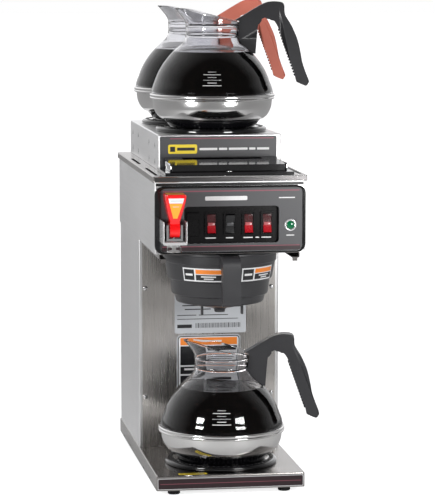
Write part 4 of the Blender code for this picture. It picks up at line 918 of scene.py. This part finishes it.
def make_level_marks(body, place):
    """White level marks printed on the front of the dome, long and short in turn."""
    facing = -98.8 - DECANTER_TURN
    ticks = bmesh.new()
    for k in range(6):
        reach = 9.0 if k % 2 == 0 else 4.5
        curved_patch(ticks, (facing - reach, facing + reach), (62.0 + 4 * k, 63.0 + 4 * k), dome_radius, 0.1,
                     0.15)
    make_piece(body + "_level_marks", ticks, WHITE_INK, body=body, place=place)


# ---------------- stage
CAMERA_PLACE = (-563.3, -3469.3, 781.6)
CAMERA_YAW, CAMERA_DOWN, CAMERA_ROLL = 8.8865, 6.8364, 0.0611      # degrees
CAMERA_LENS, CAMERA_SENSOR = 175.93, 36.0
FLOOR_GLOW = 0.80
ROOM_DARK, ROOM_BRIGHT = (0.075, 0.072, 0.070), (1.08, 1.08, 1.09)


def area_light(name, place, target, size, power):
    """A soft rectangular light at a place, looking at a target, both in the cabinet's millimetres."""
    data = bpy.data.lights.new(name, "AREA")
    data.shape = "RECTANGLE"
    data.size, data.size_y = (side * MM for side in size)
    data.energy = power
    made = add_object(name, data)
    made.location = CABINET @ Vector(place)
    made.rotation_mode = "QUATERNION"
    made.rotation_quaternion = (Vector(target) - Vector(place)).to_track_quat("-Z", "Y")


def make_floor():
    """A pale floor; its glow, for the camera alone, keeps it as white as the room."""
    mesh = as_mesh(solid(bmesh.ops.create_grid, x_segments=1, y_segments=1, size=30.0), "floor")
    pale = textured("floor_pale", (0.80, 0.80, 0.80), 0.65, 0.0, 60.0, 0.01, 0.05, 0.05, 0.05, 2.0,
                    {"Emission Color": (1.0, 1.0, 1.0, 1.0)})
    tree = pale.node_tree
    rays = add_node(tree, "LightPath")
    glow = add_node(tree, "Math")
    glow.operation = "MULTIPLY"
    glow.inputs[1].default_value = FLOOR_GLOW
    tree.links.new(rays.outputs["Is Camera Ray"], glow.inputs[0])
    tree.links.new(glow.outputs["Value"], tree.nodes["Principled BSDF"].inputs["Emission Strength"])
    mesh.materials.append(pale)
    floor = add_object("floor", mesh)
    floor.location.z = CAD_BOX[0].z


def make_room():
    """White all round to the camera, but to the brewer bright in front and dark behind."""
    world = bpy.data.worlds.new("studio")
    world.use_nodes = True
    tree = world.node_tree
    link = tree.links.new
    coordinates = add_node(tree, "TexCoord")
    split = add_node(tree, "SeparateXYZ")
    link(coordinates.outputs["Generated"], split.inputs["Vector"])
    shift = add_node(tree, "MapRange", From_Min=-1.0)
    link(split.outputs["Y"], shift.inputs["Value"])
    room = add_node(tree, "ValToRGB")
    for stop, position, colour in zip(room.color_ramp.elements, (0.38, 0.90), (ROOM_DARK, ROOM_BRIGHT)):
        stop.position, stop.color = position, (*colour, 1.0)
    link(shift.outputs["Result"], room.inputs["Fac"])
    rays = add_node(tree, "LightPath")
    pick = add_node(tree, "Mix")
    pick.data_type = "RGBA"
    link(rays.outputs["Is Camera Ray"], pick.inputs["Factor"])
    link(room.outputs["Color"], pick.inputs[6])
    pick.inputs[7].default_value = (1.0, 1.0, 1.0, 1.0)
    link(pick.outputs[2], tree.nodes["Background"].inputs["Color"])
    bpy.context.scene.world = world


def make_stage():
    make_floor()
    make_room()
    middle = (0.0, 230.0, 380.0)
    area_light("key_left", (-700, -470, 450), middle, (240, 180), 4.6)
    area_light("key_right", (425, -700, 450), middle, (290, 210), 4.4)

    camera = add_object("camera", bpy.data.cameras.new("camera"))
    camera.data.lens = CAMERA_LENS
    camera.data.sensor_width = CAMERA_SENSOR
    camera.matrix_world = (Matrix.Translation(CABINET @ Vector(CAMERA_PLACE))
                           @ Matrix.Rotation(radians(-CAMERA_YAW), 4, "Z")
                           @ Matrix.Rotation(radians(90 - CAMERA_DOWN), 4, "X")
                           @ Matrix.Rotation(radians(CAMERA_ROLL), 4, "Z"))
    bpy.context.scene.camera = camera
    bpy.context.scene.view_settings.view_transform = "Standard"


dress_cad_nodes()
make_base()
make_warmers()
make_trunk()
make_front()
make_faucet()
make_funnel()
make_top()
for decanter in DECANTERS:
    make_decanter(decanter)
make_stage()
